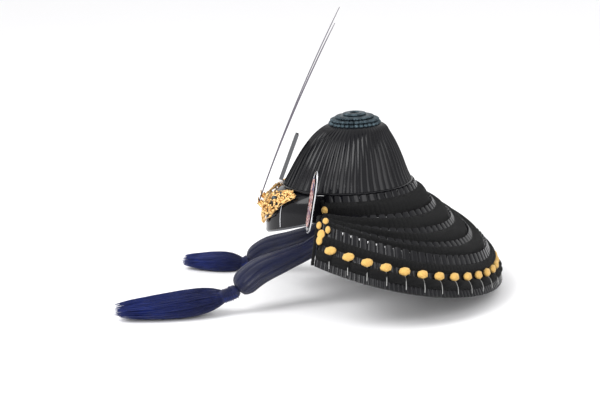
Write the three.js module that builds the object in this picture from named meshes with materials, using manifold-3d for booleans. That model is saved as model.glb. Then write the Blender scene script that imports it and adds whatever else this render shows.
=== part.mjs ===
// A samurai helmet (kabuto) with a ribbed bowl, gilt openwork crest base, two tall
// crest horns, turned-back flaps, a laced five-lame neck guard and a tasselled cord.
// Millimetres. +Z is up, the helmet faces -Y and the wearer's left is +X.
// The origin is the middle of the bowl's rim, where the head goes in.
import * as THREE from "three";
import Module from "manifold-3d";

const wasm = await Module();
wasm.setup();

// Driving sizes.
const bowlHalfWidth = 103;
const bowlHalfLength = 108;
const bowlWall = 2.6;
const plateCount = 32;
const plateRelief = 2.2;
const clearance = 0.35;
const lameWall = 2.2;
const headPitch = 14.6;
const headHeight = 6.5;
const headBand = 9.5;
const knotCount = 27;
const visorWall = 2.4;
const baseWall = 2.2;
const hornWall = 2.4;
const cordRadius = 16;

const turn = Math.PI * 2;
const radians = Math.PI / 180;
const vec = (x, y, z) => new THREE.Vector3(x, y, z);
const mix = (from, to, share) => from + (to - from) * share;

// Finishes: name, colour, roughness, metalness.
const finishes = Object.fromEntries(
  [
    ["blackLacquer", 0x0b0b0d, 0.16, 0.05],
    ["blackSilk", 0x08080a, 0.8, 0],
    ["tealBronze", 0x1d3a3e, 0.5, 0.75],
    ["gilt", 0xc79a45, 0.32, 0.95],
    ["silver", 0xd0d2d6, 0.22, 0.95],
    ["yellowSilk", 0xd6a53c, 0.75, 0],
    ["stencilledLeather", 0xb98f74, 0.6, 0],
    ["blueSilk", 0x121c66, 0.6, 0],
  ].map(([name, color, roughness, metalness]) => [
    name,
    new THREE.MeshStandardMaterial({ name, color, roughness, metalness, flatShading: true }),
  ])
);

const helmet = new THREE.Group();
helmet.name = "kabuto";

function addPiece(name, finish, geometry) {
  const mesh = new THREE.Mesh(geometry, finishes[finish].clone());
  mesh.name = name;
  helmet.add(mesh);
  return mesh;
}

function meshFrom(points, faces) {
  const geometry = new THREE.BufferGeometry();
  const flat = points.flatMap((p) => [p.x, p.y, p.z]);
  geometry.setAttribute("position", new THREE.Float32BufferAttribute(flat, 3));
  geometry.setIndex(faces.flat());
  return faceOutward(geometry);
}

// Turns every face over when the body's signed volume is negative.
function faceOutward(geometry) {
  const at = geometry.attributes.position;
  const index = geometry.index.array;
  let volume = 0;
  for (let i = 0; i < index.length; i += 3) {
    const [a, b, c] = [0, 1, 2].map((k) => vec().fromBufferAttribute(at, index[i + k]));
    volume += a.dot(b.cross(c));
  }
  if (volume < 0) {
    for (let i = 0; i < index.length; i += 3) {
      [index[i + 1], index[i + 2]] = [index[i + 2], index[i + 1]];
    }
  }
  geometry.computeVertexNormals();
  return geometry;
}

// Joins equal loops of points into one skin. Open runs get a flat cap at each end.
function skinLoops(loops, closedRun) {
  const size = loops[0].length;
  const points = loops.flat();
  const faces = [];
  const last = closedRun ? loops.length : loops.length - 1;
  for (let i = 0; i < last; i += 1) {
    const j = (i + 1) % loops.length;
    for (let k = 0; k < size; k += 1) {
      const m = (k + 1) % size;
      const corners = [i * size + k, i * size + m, j * size + m, j * size + k];
      faces.push([corners[0], corners[1], corners[2]], [corners[0], corners[2], corners[3]]);
    }
  }
  if (!closedRun) {
    const end = (loops.length - 1) * size;
    for (let k = 1; k < size - 1; k += 1) {
      faces.push([0, k + 1, k], [end, end + k, end + k + 1]);
    }
  }
  return meshFrom(points, faces);
}

function mirrored(geometry) {
  const other = geometry.clone();
  other.scale(-1, 1, 1);
  if (!other.index) {
    other.setIndex([...Array(other.attributes.position.count).keys()]);
  }
  return faceOutward(other);
}

// A closed ring of a small section round an ellipse. Section rows: outward, up.
function ellipseRing(centre, halfWidth, halfLength, section, steps) {
  const loops = [];
  for (let i = 0; i < steps; i += 1) {
    const angle = (i / steps) * turn;
    loops.push(
      section.map(([out, up]) =>
        vec(
          centre.x + (halfWidth + out) * Math.cos(angle),
          centre.y + (halfLength + out) * Math.sin(angle),
          centre.z + up
        )
      )
    );
  }
  return skinLoops(loops, true);
}

// A tube with flat ends along a smooth curve. Its radius may change along the way.
function tubeAlong(curve, radiusAt, steps, sides, closedRun = false) {
  const frames = curve.computeFrenetFrames(steps, closedRun);
  const loops = [];
  const count = closedRun ? steps : steps + 1;
  for (let i = 0; i < count; i += 1) {
    const share = i / steps;
    const middle = curve.getPointAt(share);
    const radius = radiusAt(share);
    const loop = [];
    for (let k = 0; k < sides; k += 1) {
      const angle = (k / sides) * turn;
      loop.push(
        middle
          .clone()
          .addScaledVector(frames.normals[i], radius * Math.cos(angle))
          .addScaledVector(frames.binormals[i], radius * Math.sin(angle))
      );
    }
    loops.push(loop);
  }
  return skinLoops(loops, closedRun);
}

// Bowl: the side profile leans back as it rises.
// Columns: height, half length as a share of the rim's, centre's shift back.
const bowlProfile = [
  [0, 1, 0],
  [14, 0.935, 1],
  [40, 0.825, 4],
  [62, 0.715, 7],
  [82, 0.585, 10.5],
  [94, 0.475, 15],
  [100, 0.33, 15],
];
const crownOpening = 0.12;
const bowlTop = bowlProfile[bowlProfile.length - 1][0];
const crownBack = 15;

function bowlPoint(height, share, back, angle, inset, relief) {
  const length = bowlHalfLength * share - inset + relief;
  const width = bowlHalfWidth * share - inset + relief;
  return vec(width * Math.cos(angle), back + length * Math.sin(angle), height);
}

function makeBowl() {
  const steps = plateCount * 2;
  const loops = [];
  for (let i = 0; i < steps; i += 1) {
    const angle = (i / steps) * turn;
    const relief = i % 2 ? 0 : plateRelief;
    const outer = bowlProfile.map(([height, share, back]) =>
      bowlPoint(height, share, back, angle, 0, relief * Math.min(1, share * 1.4))
    );
    outer.push(bowlPoint(bowlTop + 1.5, crownOpening, crownBack, angle, 0, 0));
    const inner = bowlProfile
      .filter((row, k) => k % 3 === 0)
      .map(([height, share, back]) =>
        bowlPoint(Math.max(0, height - bowlWall * (1 - share)), share, back, angle, bowlWall, 0)
      );
    inner.push(bowlPoint(bowlTop - bowlWall, crownOpening, crownBack, angle, 0, 0));
    loops.push([...outer, ...inner.reverse()]);
  }
  return skinLoops(loops, true);
}
addPiece("bowl", "blackLacquer", makeBowl());

// Rim band: a plain hoop just under the plates.
const rimBandDepth = 4;
addPiece(
  "rim_band",
  "blackLacquer",
  ellipseRing(
    vec(0, 0, -clearance),
    bowlHalfWidth,
    bowlHalfLength,
    [
      [-3.4, 0],
      [2.6, 0],
      [3.4, -1.4],
      [2.6, -rimBandDepth],
      [-3.4, -rimBandDepth],
    ],
    40
  )
);

// Crown fitting: stepped rings round an open middle.
// Columns: name, then profile points as radius and height over the bowl's top edge.
// One unit of their radii is a 108th of the bowl's half length.
const crownHole = 8;
const crownUnit = bowlHalfLength / 108;
const crownTiers = [
  [
    "crown_flange",
    [[crownHole, 2.4], [13.5, 2.1], [37, 0.8], [47, -3.2], [48.4, -1.4], [45, 2.2], [crownHole, 5.6]],
  ],
  [
    "crown_petal_ring",
    [[crownHole, 6], [40.5, 3.05], [42.5, 4.2], [41, 7], [33, 9], [crownHole, 11]],
  ],
  [
    "crown_rope_ring",
    [[crownHole, 11.4], [31.5, 9.55], [33.5, 11.4], [31.5, 14], [20, 15.6], [crownHole, 16.2]],
  ],
  [
    "crown_collar",
    [[crownHole, 16.6], [19, 16.05], [20.4, 17.6], [17.5, 20.6], [11, 21.6], [crownHole, 20]],
  ],
];
for (const [name, profile] of crownTiers) {
  const closed = [...profile, profile[0]].map(([r, z]) => new THREE.Vector2(r, z));
  const ring = new THREE.LatheGeometry(closed, 20);
  ring.rotateX(Math.PI / 2);
  ring.scale((crownUnit * bowlHalfWidth) / bowlHalfLength, crownUnit, 1);
  ring.translate(0, crownBack, bowlTop);
  addPiece(name, "tealBronze", faceOutward(ring));
}

// Visor: swells forward from the rim and turns down to an edge lowest in front.
// Columns: side angle in degrees from the front, edge X, edge Y, edge Z.
const visorSwell = 18;
const visorEdge = [
  [0, 0, -144, -81],
  [14, 35, -137, -76.5],
  [28, 66, -114, -67],
  [42, 87, -86, -57.5],
  [56, 97, -62, -51],
];
const visorEnd = visorEdge[visorEdge.length - 1][0];
const visorEdgeCurve = new THREE.CatmullRomCurve3(
  [
    ...visorEdge.slice(1).reverse().map(([, x, y, z]) => vec(-x, y, z)),
    ...visorEdge.map(([, x, y, z]) => vec(x, y, z)),
  ]
);

// across runs -1 to 1 between the visor's ends, down runs 0 at the rim to 1 at the edge.
function visorPoint(across, down, lift = 0) {
  const at = (a, d) => {
    const angle = a * visorEnd * radians;
    const root = vec(
      (bowlHalfWidth - 4) * Math.sin(angle),
      -(bowlHalfLength - 4) * Math.cos(angle),
      -rimBandDepth - 1
    );
    const edge = visorEdgeCurve.getPoint((a + 1) / 2);
    const point = root.lerp(edge, d);
    const swell = visorSwell * Math.sin(Math.PI * d) * mix(1, 0.3, a * a);
    point.x += swell * 0.7 * Math.sin(angle);
    point.y -= swell * 0.7 * Math.cos(angle);
    point.z += swell * 0.7;
    return point;
  };
  const point = at(across, down);
  if (lift) {
    const along = at(Math.min(across + 0.01, 1), down).sub(at(Math.max(across - 0.01, -1), down));
    const lower = at(across, down + 0.01).sub(at(across, down - 0.01));
    const normal = lower.cross(along).normalize();
    if (normal.y > 0 || (Math.abs(normal.y) < 0.2 && normal.z < 0)) {
      normal.negate();
    }
    point.addScaledVector(normal, lift);
  }
  return point;
}

function makeVisor() {
  const across = 22;
  const down = 5;
  const loops = [];
  for (let i = 0; i <= across; i += 1) {
    const a = mix(-1, 1, i / across);
    const front = [];
    const back = [];
    for (let k = 0; k <= down; k += 1) {
      front.push(visorPoint(a, k / down, 0));
      if (k === 0 || k === down || k === 2) {
        back.push(visorPoint(a, k / down, -visorWall));
      }
    }
    loops.push([...front, ...back.reverse()]);
  }
  return skinLoops(loops, false);
}
addPiece("visor", "blackLacquer", makeVisor());

// Rolled bead along the visor's free edge.
const visorBead = 2.2;
const visorRimPoints = [];
for (let i = 0; i <= 20; i += 1) {
  const a = mix(-1, 1, i / 20);
  const edge = visorPoint(a, 1, -visorWall / 2);
  const outward = edge.clone().sub(visorPoint(a, 0.9, -visorWall / 2)).normalize();
  visorRimPoints.push(edge.addScaledVector(outward, visorBead + clearance));
}
addPiece(
  "visor_rim",
  "blackLacquer",
  tubeAlong(new THREE.CatmullRomCurve3(visorRimPoints), () => visorBead, 22, 6)
);

// Gilt openwork base on the visor: a leafy scroll outline, pierced right through.
const baseLift = 4;
const baseReach = 0.76;
const baseLobe = 0.035;
// Columns: share from the middle to the tail, upper edge and lower edge on the visor.
const baseShape = [
  [0, 0.44, 0.9],
  [0.25, 0.36, 0.88],
  [0.5, 0.2, 0.77],
  [0.72, 0.1, 0.55],
  [0.88, 0.16, 0.42],
  [1, 0.22, 0.31],
];
function baseOutline(across) {
  const side = Math.abs(across);
  const next = Math.max(1, baseShape.findIndex((row) => row[0] >= side));
  const [from, to] = [baseShape[next - 1], baseShape[next]];
  const share = (side - from[0]) / (to[0] - from[0]);
  const lobe = baseLobe * Math.abs(Math.cos(side * Math.PI * 4)) * (1 - side);
  return { top: mix(from[1], to[1], share) - lobe, foot: mix(from[2], to[2], share) + lobe };
}

function makeBaseSheet(lift, wall) {
  const steps = 22;
  const loops = [];
  for (let i = 0; i <= steps; i += 1) {
    const across = mix(-1, 1, i / steps);
    const { top, foot } = baseOutline(across);
    const front = [];
    const back = [];
    for (let k = 0; k <= 2; k += 1) {
      const down = mix(top, foot, k / 2);
      front.push(visorPoint(across * baseReach, down, lift + wall));
      back.push(visorPoint(across * baseReach, down, lift));
    }
    loops.push([...front, ...back.reverse()]);
  }
  return skinLoops(loops, false);
}

function toManifold(geometry) {
  const at = geometry.attributes.position;
  const index = geometry.index ? [...geometry.index.array] : [...Array(at.count).keys()];
  const seen = new Map();
  const places = [];
  const remap = [];
  for (let i = 0; i < at.count; i += 1) {
    const key = [at.getX(i), at.getY(i), at.getZ(i)].map((v) => v.toFixed(4)).join(" ");
    if (!seen.has(key)) {
      seen.set(key, places.length / 3);
      places.push(at.getX(i), at.getY(i), at.getZ(i));
    }
    remap.push(seen.get(key));
  }
  const triangles = [];
  for (let i = 0; i < index.length; i += 3) {
    const [a, b, c] = [0, 1, 2].map((k) => remap[index[i + k]]);
    if (a !== b && b !== c && a !== c) {
      triangles.push(a, b, c);
    }
  }
  return new wasm.Manifold(
    new wasm.Mesh({
      numProp: 3,
      vertProperties: new Float32Array(places),
      triVerts: new Uint32Array(triangles),
    })
  );
}

function fromManifold(solid) {
  const mesh = solid.getMesh();
  const geometry = new THREE.BufferGeometry();
  geometry.setAttribute("position", new THREE.BufferAttribute(mesh.vertProperties, 3));
  geometry.setIndex(new THREE.BufferAttribute(mesh.triVerts, 1));
  geometry.computeVertexNormals();
  return geometry;
}

// One leaf-shaped cutter through the openwork, long axis turned by spin.
function scrollCutter(across, down, long, wide, spin) {
  const sides = 6;
  const middle = visorPoint(across * baseReach, down, baseLift + baseWall / 2);
  const aside = visorPoint((across + 0.02) * baseReach, down, baseLift + baseWall / 2);
  const below = visorPoint(across * baseReach, down + 0.02, baseLift + baseWall / 2);
  const along = aside.sub(middle).normalize();
  const lower = below.sub(middle).normalize();
  const out = lower.clone().cross(along).normalize();
  const loops = [-1, 1].map((end) => {
    const loop = [];
    for (let k = 0; k < sides; k += 1) {
      const angle = (k / sides) * turn;
      const u = (long / 2) * Math.cos(angle);
      const v = (wide / 2) * Math.sin(angle) * (k % 3 === 1 ? 1.25 : 1);
      loop.push(
        middle
          .clone()
          .addScaledVector(along, u * Math.cos(spin) - v * Math.sin(spin))
          .addScaledVector(lower, u * Math.sin(spin) + v * Math.cos(spin))
          .addScaledVector(out, end * baseWall * 2.2)
      );
    }
    return loop;
  });
  return skinLoops(loops, false);
}

// Rows of scroll openings. Columns: share down the sheet, number across, reach, spin.
const scrollRows = [
  [0.2, 10, 0.84, 0.6],
  [0.48, 10, 0.84, -0.5],
  [0.76, 9, 0.66, 0.7],
];
let base = toManifold(makeBaseSheet(baseLift, baseWall));
for (const [share, count, reach, spin] of scrollRows) {
  for (let i = 0; i < count; i += 1) {
    const across = mix(-reach, reach, i / (count - 1));
    const { top, foot } = baseOutline(across);
    const down = mix(top, foot, share);
    const side = across < 0 ? -1 : 1;
    const cutter = scrollCutter(across, down, 10, 6.4, side * spin * (i % 2 ? 1 : -1.3));
    base = base.subtract(toManifold(cutter));
  }
}
addPiece("gilt_base", "gilt", fromManifold(base));

// Dome-headed rivets through the base into the visor. Columns: name, across, down.
const rivets = [
  ["visor_rivet_front", 0, 0.62],
  ["visor_rivet_left", 0.5, 0.42],
  ["visor_rivet_right", -0.5, 0.42],
];
for (const [name, across, down] of rivets) {
  const foot = visorPoint(across * baseReach, down, baseLift + baseWall + clearance);
  const tip = visorPoint(across * baseReach, down, baseLift + baseWall + 3);
  const profile = [[0, 0], [4.6, 0], [4.2, 2.2], [2.2, 3.8], [0, 4.3]];
  const dome = new THREE.LatheGeometry(profile.map(([r, y]) => new THREE.Vector2(r, y)), 10);
  const aim = new THREE.Quaternion().setFromUnitVectors(vec(0, 1, 0), tip.sub(foot).normalize());
  dome.applyQuaternion(aim);
  dome.translate(foot.x, foot.y, foot.z);
  addPiece(name, "tealBronze", faceOutward(dome));
}

// Crest horns: thin polished plates, both in one leaning, slightly curved sheet.
const hornFoot = -27;
const hornTip = 289;
function hornY(height) {
  const rise = height + 15;
  return -147 + 0.39 * rise + 0.000242 * rise * rise;
}
// Columns: share of the horn's height, inner edge X, outer edge X.
const hornEdges = [
  [0, 22, 34],
  [0.07, 22, 36],
  [0.2, 30, 50],
  [0.38, 45, 71],
  [0.56, 57, 88],
  [0.74, 65, 101],
  [0.88, 70, 107],
  [1, 92, 106],
];
// Each horn's outer edge is swept back a little, most at mid height.
const hornSweep = 6;
function makeHorn() {
  const loops = hornEdges.map(([share, inner, outer]) => {
    const height = mix(hornFoot, hornTip, share);
    const y = hornY(height);
    const back = (hornSweep / 2) * Math.sin(Math.PI * share);
    const half = (hornWall / 2) * (share === 1 ? 0.5 : 1);
    const middle = (inner + outer) / 2;
    return [
      vec(inner, y - back - half * 0.4, height),
      vec(middle, y - half, height),
      vec(outer, y + back - half * 0.4, height),
      vec(outer, y + back + half * 0.4, height),
      vec(middle, y + half, height),
      vec(inner, y - back + half * 0.4, height),
    ];
  });
  return skinLoops(loops, false);
}
// Horn sockets: gilt wedges that stand out from the base and carry the horns' feet.
function makeHornSocket() {
  const lift = baseLift + baseWall + 1.4;
  const under = hornFoot - clearance;
  const seat = hornY(hornFoot);
  const loops = [0.19, 0.35].map((across) => {
    const upper = visorPoint(across, 0.5, lift);
    const lower = visorPoint(across, 0.62, lift);
    return [
      upper,
      lower,
      vec(lower.x, seat - 2, under - 3.5),
      vec(lower.x, seat - 2.2, under),
      vec(lower.x, seat + 2.2, under),
    ];
  });
  return skinLoops(loops, false);
}
const hornSocket = makeHornSocket();
addPiece("horn_socket_left", "gilt", hornSocket);
addPiece("horn_socket_right", "gilt", mirrored(hornSocket));

const horn = makeHorn();
addPiece("horn_left", "silver", horn);
addPiece("horn_right", "silver", mirrored(horn));

// Middle crest socket: a flat sleeve, open at the top, on a small bracket.
const socketWidth = 17;
const socketDepth = 7;
const socketWall = 1.6;
const socketStandOff = 7;
const socketLean = 31;
const socketBase = 4;
const socketTop = 82;
const socketFoot = vec(0, -bowlHalfLength - socketStandOff, socketBase);
const socketHead = vec(0, socketFoot.y + socketLean, socketTop);
function makeSocket() {
  const rise = socketHead.clone().sub(socketFoot);
  const length = rise.length();
  const outer = new THREE.BoxGeometry(socketWidth, socketDepth, length);
  const inner = new THREE.BoxGeometry(
    socketWidth - socketWall * 2,
    socketDepth - socketWall * 2,
    length
  );
  inner.translate(0, 0, 10);
  const sleeve = fromManifold(toManifold(outer).subtract(toManifold(inner)));
  sleeve.applyQuaternion(
    new THREE.Quaternion().setFromUnitVectors(vec(0, 0, 1), rise.clone().normalize())
  );
  const middle = socketFoot.clone().lerp(socketHead, 0.5);
  sleeve.translate(middle.x, middle.y, middle.z);
  return sleeve;
}
addPiece("crest_socket", "blackLacquer", makeSocket());

// Bracket under the socket: a small block between the sleeve's foot and the rim band.
const bracketHalf = 5;
function makeBracket() {
  const rise = socketHead.clone().sub(socketFoot).normalize();
  const depth = vec(0, rise.z, -rise.y);
  const under = socketFoot.clone().addScaledVector(rise, -clearance);
  const rimFront = -bowlHalfLength - 3.4 - clearance;
  const outline = [
    under.clone().addScaledVector(depth, -socketDepth / 2),
    under.clone().addScaledVector(depth, socketDepth / 2),
    vec(0, rimFront, 0.5),
    vec(0, rimFront, -rimBandDepth),
    vec(0, rimFront - 3.5, -rimBandDepth - 0.5),
    vec(0, rimFront - 6.5, -0.5),
  ];
  const loops = [-bracketHalf, bracketHalf].map((x) =>
    outline.map((point) => vec(x, point.y, point.z))
  );
  return skinLoops(loops, false);
}
addPiece("crest_bracket", "silver", makeBracket());

// Neck guard. Each row is a curve round the back of the helmet.
// Columns: half width and half length beyond the bowl's, centre's shift back,
// height at the back, rise towards the front, front end's distance behind the bowl's.
const guardReach = {
  top1: [5.15, 4.3, 0, -3.5, 0, 72],
  top2: [25, 20, 14, -33, 0, 73],
  top3: [59, 41, 25, -56, 15, 68],
  top4: [83, 60, 36, -84, 36, 67],
  top5: [105, 80, 46, -112, 56, 68],
  knots: [132, 94, 50, -143, 57, 63],
  foot5: [147, 101, 52.5, -179, 58, 58],
};
const guardRows = {};
for (const [name, [wide, long, back, height, rise, behind]] of Object.entries(guardReach)) {
  const front = behind - bowlHalfLength;
  guardRows[name] = [bowlHalfWidth + wide, bowlHalfLength + long, back, height, rise, front];
}
const lameCount = 5;
const tuckIn = 9;
const tuckDown = 3;
for (let n = 1; n < lameCount; n += 1) {
  const [width, length, back, height, rise, front] = guardRows[`top${n + 1}`];
  guardRows[`foot${n}`] = [width - tuckIn, length - tuckIn, back, height - tuckDown, rise, front];
}

// share runs 0 at the left front end, 0.5 at the back, 1 at the right front end.
function guardPoint(row, share) {
  const [width, length, back, height, rise, front] = guardRows[row];
  const start = Math.asin((front - back) / length);
  const angle = mix(start, Math.PI - start, share);
  return vec(
    width * Math.cos(angle),
    back + length * Math.sin(angle),
    height + rise * (1 - Math.sin(angle))
  );
}

function guardLength(row) {
  let total = 0;
  for (let i = 0; i < 60; i += 1) {
    total += guardPoint(row, i / 60).distanceTo(guardPoint(row, (i + 1) / 60));
  }
  return total;
}

// Place, downward direction and outward normal on a lame's wall at one share.
function lameFrame(topRow, footRow, share) {
  const top = guardPoint(topRow, share);
  const foot = guardPoint(footRow, share);
  const along = guardPoint(topRow, share + 0.002).sub(guardPoint(topRow, share - 0.002));
  const down = foot.clone().sub(top);
  const length = down.length();
  down.normalize();
  const out = along.cross(down).normalize();
  if (out.z < 0) {
    out.negate();
  }
  return { top, foot, down, out, length };
}

function placeOn(frame, down, out) {
  return frame.top.clone().addScaledVector(frame.down, down).addScaledVector(frame.out, out);
}

// A lame with a row of scale heads along its upper edge.
function makeLame(topRow, footRow) {
  const heads = Math.round(guardLength(topRow) / headPitch);
  const points = [];
  const put = (frame, below, inward) => {
    const place = frame.top
      .clone()
      .addScaledVector(frame.down, below)
      .addScaledVector(frame.out, -inward);
    return points.push(place) - 1;
  };
  const pair = (share, below) => {
    const frame = lameFrame(topRow, footRow, share);
    return [put(frame, below, 0), put(frame, below, lameWall)];
  };
  const footPair = (share) => {
    const frame = lameFrame(topRow, footRow, share);
    return [put(frame, frame.length, 0), put(frame, frame.length, lameWall)];
  };
  const columns = [];
  for (let i = 0; i <= heads; i += 1) {
    const share = i / heads;
    columns.push({ notch: pair(share, headHeight), foot: footPair(share) });
    if (i < heads) {
      columns[i].rise = pair(share + 0.16 / heads, 0);
      columns[i].fall = pair(share + 0.84 / heads, 0);
    }
  }
  const faces = [];
  const quad = (a, b, c, d) => faces.push([a, b, c], [a, c, d]);
  for (let i = 0; i < heads; i += 1) {
    const here = columns[i];
    const next = columns[i + 1];
    for (const side of [0, 1]) {
      const fan = [next.foot, next.notch, here.fall, here.rise, here.notch].map((p) => p[side]);
      for (let k = 0; k < fan.length - 1; k += 1) {
        const face = [here.foot[side], fan[k], fan[k + 1]];
        faces.push(side ? face.reverse() : face);
      }
    }
    const edge = [here.notch, here.rise, here.fall, next.notch];
    for (let k = 0; k < edge.length - 1; k += 1) {
      quad(edge[k][0], edge[k + 1][0], edge[k + 1][1], edge[k][1]);
    }
    quad(here.foot[0], here.foot[1], next.foot[1], next.foot[0]);
  }
  const first = columns[0];
  const last = columns[heads];
  quad(first.notch[0], first.notch[1], first.foot[1], first.foot[0]);
  quad(last.notch[0], last.foot[0], last.foot[1], last.notch[1]);
  return meshFrom(points, faces);
}

// Thick close lacing over a lame, ending just behind the next lame's heads.
const lacingSteps = 34;
const lacingLift = 1.1;
const lacingThick = 5;
const lacingGap = 0.9;
function makeLacing(n) {
  const loops = [];
  for (let i = 0; i <= lacingSteps; i += 1) {
    const share = mix(0.004, 0.996, i / lacingSteps);
    const here = lameFrame(`top${n}`, `foot${n}`, share);
    const below = lameFrame(`top${n + 1}`, `foot${n + 1}`, share);
    const start = Math.min(headBand, here.length * 0.45);
    const landing = placeOn(below, 1, -lameWall - lacingGap);
    loops.push([
      placeOn(here, start, lacingLift),
      placeOn(here, mix(start, here.length, 0.35), lacingThick),
      placeOn(here, mix(start, here.length, 0.8), lacingThick),
      landing,
      placeOn(here, here.length, lacingLift),
    ]);
  }
  return skinLoops(loops, false);
}

for (let n = 1; n <= lameCount; n += 1) {
  addPiece(`neck_lame_${n}`, "blackLacquer", makeLame(`top${n}`, `foot${n}`));
  if (n < lameCount) {
    addPiece(`lacing_${n}`, "blackSilk", makeLacing(n));
  }
}

// The lowest lame carries a laced band, a row of cross-knots and a second laced band.
function makeLowBand(from, to, thick) {
  const loops = [];
  for (let i = 0; i <= lacingSteps; i += 1) {
    const frame = lameFrame("top5", "foot5", mix(0.004, 0.996, i / lacingSteps));
    const start = frame.length * from;
    const end = frame.length * to;
    loops.push([
      placeOn(frame, start, lacingLift),
      placeOn(frame, mix(start, end, 0.22), thick * 0.9),
      placeOn(frame, mix(start, end, 0.75), thick),
      placeOn(frame, end, lacingLift),
    ]);
  }
  return skinLoops(loops, false);
}
const knotFrom = 0.46;
const knotTo = 0.61;
addPiece("lacing_5", "blackSilk", makeLowBand(0.15, knotFrom - 0.01, 5.5));
addPiece("lacing_6", "blackSilk", makeLowBand(knotTo + 0.01, 0.8, 4.6));

// Cross-knots: soft lozenges strung on one flat cord round the lowest lame.
function makeKnots() {
  const loops = [];
  const section = (share, from, to, thick) => {
    const frame = lameFrame("top5", "foot5", share);
    loops.push([
      placeOn(frame, frame.length * from, lacingLift),
      placeOn(frame, frame.length * mix(from, to, 0.3), thick),
      placeOn(frame, frame.length * mix(from, to, 0.7), thick),
      placeOn(frame, frame.length * to, lacingLift),
    ]);
  };
  const middle = (knotFrom + knotTo) / 2;
  const spacing = 1 / knotCount;
  for (let i = 0; i < knotCount; i += 1) {
    const centre = (i + 0.5) * spacing;
    section(centre - spacing * 0.2, knotFrom + 0.01, knotTo - 0.01, 6.4);
    section(centre + spacing * 0.2, knotFrom + 0.01, knotTo - 0.01, 6.4);
    if (i < knotCount - 1) {
      section(centre + spacing * 0.5, middle - 0.02, middle + 0.02, 2.2);
    }
  }
  return skinLoops(loops, false);
}
addPiece("cross_knots", "yellowSilk", makeKnots());

// Braid laced down the front ends of the lames.
const edgeRadius = 2.8;
function makeEdgeBraid() {
  const rows = ["top1", "foot1", "foot2", "foot3", "top5", "knots", "foot5"];
  const points = rows.map((row) => {
    const end = guardPoint(row, 0);
    const along = end.clone().sub(guardPoint(row, 0.01)).normalize();
    return end.addScaledVector(along, edgeRadius + 0.9);
  });
  points[0].lerp(points[1], 0.25);
  return tubeAlong(new THREE.CatmullRomCurve3(points), () => edgeRadius, 16, 6);
}
const edgeBraid = makeEdgeBraid();
addPiece("edge_braid_left", "yellowSilk", edgeBraid);
addPiece("edge_braid_right", "yellowSilk", mirrored(edgeBraid));

// Turned-back flaps: a leather-faced plate with a bright bead round its edge.
const flapWall = 2.4;
const flapBead = 1.8;
// Columns: share outward from the root, height. The outline runs round the flap.
const flapOutline = [
  [0, -50],
  [0, -34],
  [-0.32, -32],
  [-0.32, -9],
  [0, -6],
  [0, 8],
  [0.1, 24],
  [0.34, 36],
  [0.66, 41],
  [0.9, 34],
  [1, 20],
  [1, -34],
  [0.93, -46],
  [0.7, -54],
  [0.3, -57],
];
const flapOffside = 5;
const flapBehindFront = 51;
const flapLean = 0.18;
const flapReach = 38;
const flapSlant = 7;
function flapPoint(outShare, height) {
  const side = bowlHalfWidth + flapOffside;
  const front = -bowlHalfLength + flapBehindFront;
  const root = vec(side, front + flapLean * height, height);
  return root.addScaledVector(vec(flapReach, flapSlant, 0), outShare);
}
const flapFacing = vec(flapSlant, -flapReach, flapLean * flapReach).normalize();
const flapMiddle = flapPoint(0.5, -12);
const flapBody = flapOutline.filter(([out]) => out >= 0);

function flatSlab(rows, low, high) {
  const shape = rows.map(([x, y]) => new THREE.Vector2(x, y));
  const lid = THREE.ShapeUtils.triangulateShape(shape, []);
  const size = rows.length;
  const points = [low, high].flatMap((lift) =>
    rows.map(([out, height]) => flapPoint(out, height).addScaledVector(flapFacing, lift))
  );
  const faces = lid.map(([a, b, c]) => [a, b, c]);
  lid.forEach(([a, b, c]) => faces.push([a + size, c + size, b + size]));
  const winding = THREE.ShapeUtils.isClockWise(shape) ? 1 : -1;
  for (let k = 0; k < size; k += 1) {
    const m = (k + 1) % size;
    const [a, b] = winding > 0 ? [k, m] : [m, k];
    faces.push([a, b, b + size], [a, b + size, a + size]);
  }
  return meshFrom(points, faces);
}
const flap = flatSlab(flapOutline, -flapWall / 2, flapWall / 2);
addPiece("flap_left", "blackLacquer", flap);
addPiece("flap_right", "blackLacquer", mirrored(flap));

const facingShare = 0.88;
const facing = flatSlab(
  flapBody.map(([out, height]) => [mix(0.5, out, facingShare), mix(-12, height, facingShare)]),
  flapWall / 2 + clearance,
  flapWall / 2 + clearance + 1.2
);
addPiece("flap_leather_left", "stencilledLeather", facing);
addPiece("flap_leather_right", "stencilledLeather", mirrored(facing));

const flapRimPoints = flapBody.slice(2).concat(flapBody.slice(0, 2)).map(([out, height]) => {
  const edge = flapPoint(out, height);
  const away = edge.clone().sub(flapMiddle);
  away.addScaledVector(flapFacing, -away.dot(flapFacing)).normalize();
  return edge.addScaledVector(away, flapBead + flapWall * 0.5 + clearance);
});
const flapRim = tubeAlong(new THREE.CatmullRomCurve3(flapRimPoints), () => flapBead, 24, 5);
addPiece("flap_rim_left", "silver", flapRim);
addPiece("flap_rim_right", "silver", mirrored(flapRim));

// The first lame's turned front end carries the flap.
// Columns: inward from the bowl's side at its top and at its foot, back from its front.
const flapRootRun = [
  [2.4, 0, 78],
  [6.8, 4.6, 71],
  [7.6, 7.6, 48.8],
];
const flapRootPivot = 8.5;
const flapRootWall = 2;
const flapRootTop = -10;
const flapRootFoot = -31;
function makeFlapRoot() {
  const half = flapRootWall / 2;
  const loops = flapRootRun.map(([inTop, inFoot, behind]) => {
    const [high, low] = [bowlHalfWidth - inTop, bowlHalfWidth - inFoot];
    const y = behind - bowlHalfLength;
    const upper = y + flapLean * (flapRootTop + flapRootPivot);
    const lower = y + flapLean * (flapRootFoot + flapRootPivot);
    return [
      vec(high - half, upper, flapRootTop),
      vec(high + half, upper, flapRootTop),
      vec(low + half, lower, flapRootFoot),
      vec(low - half, lower, flapRootFoot),
    ];
  });
  return skinLoops(loops, false);
}
const flapRoot = makeFlapRoot();
addPiece("flap_root_left", "blackLacquer", flapRoot);
addPiece("flap_root_right", "blackLacquer", mirrored(flapRoot));

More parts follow.
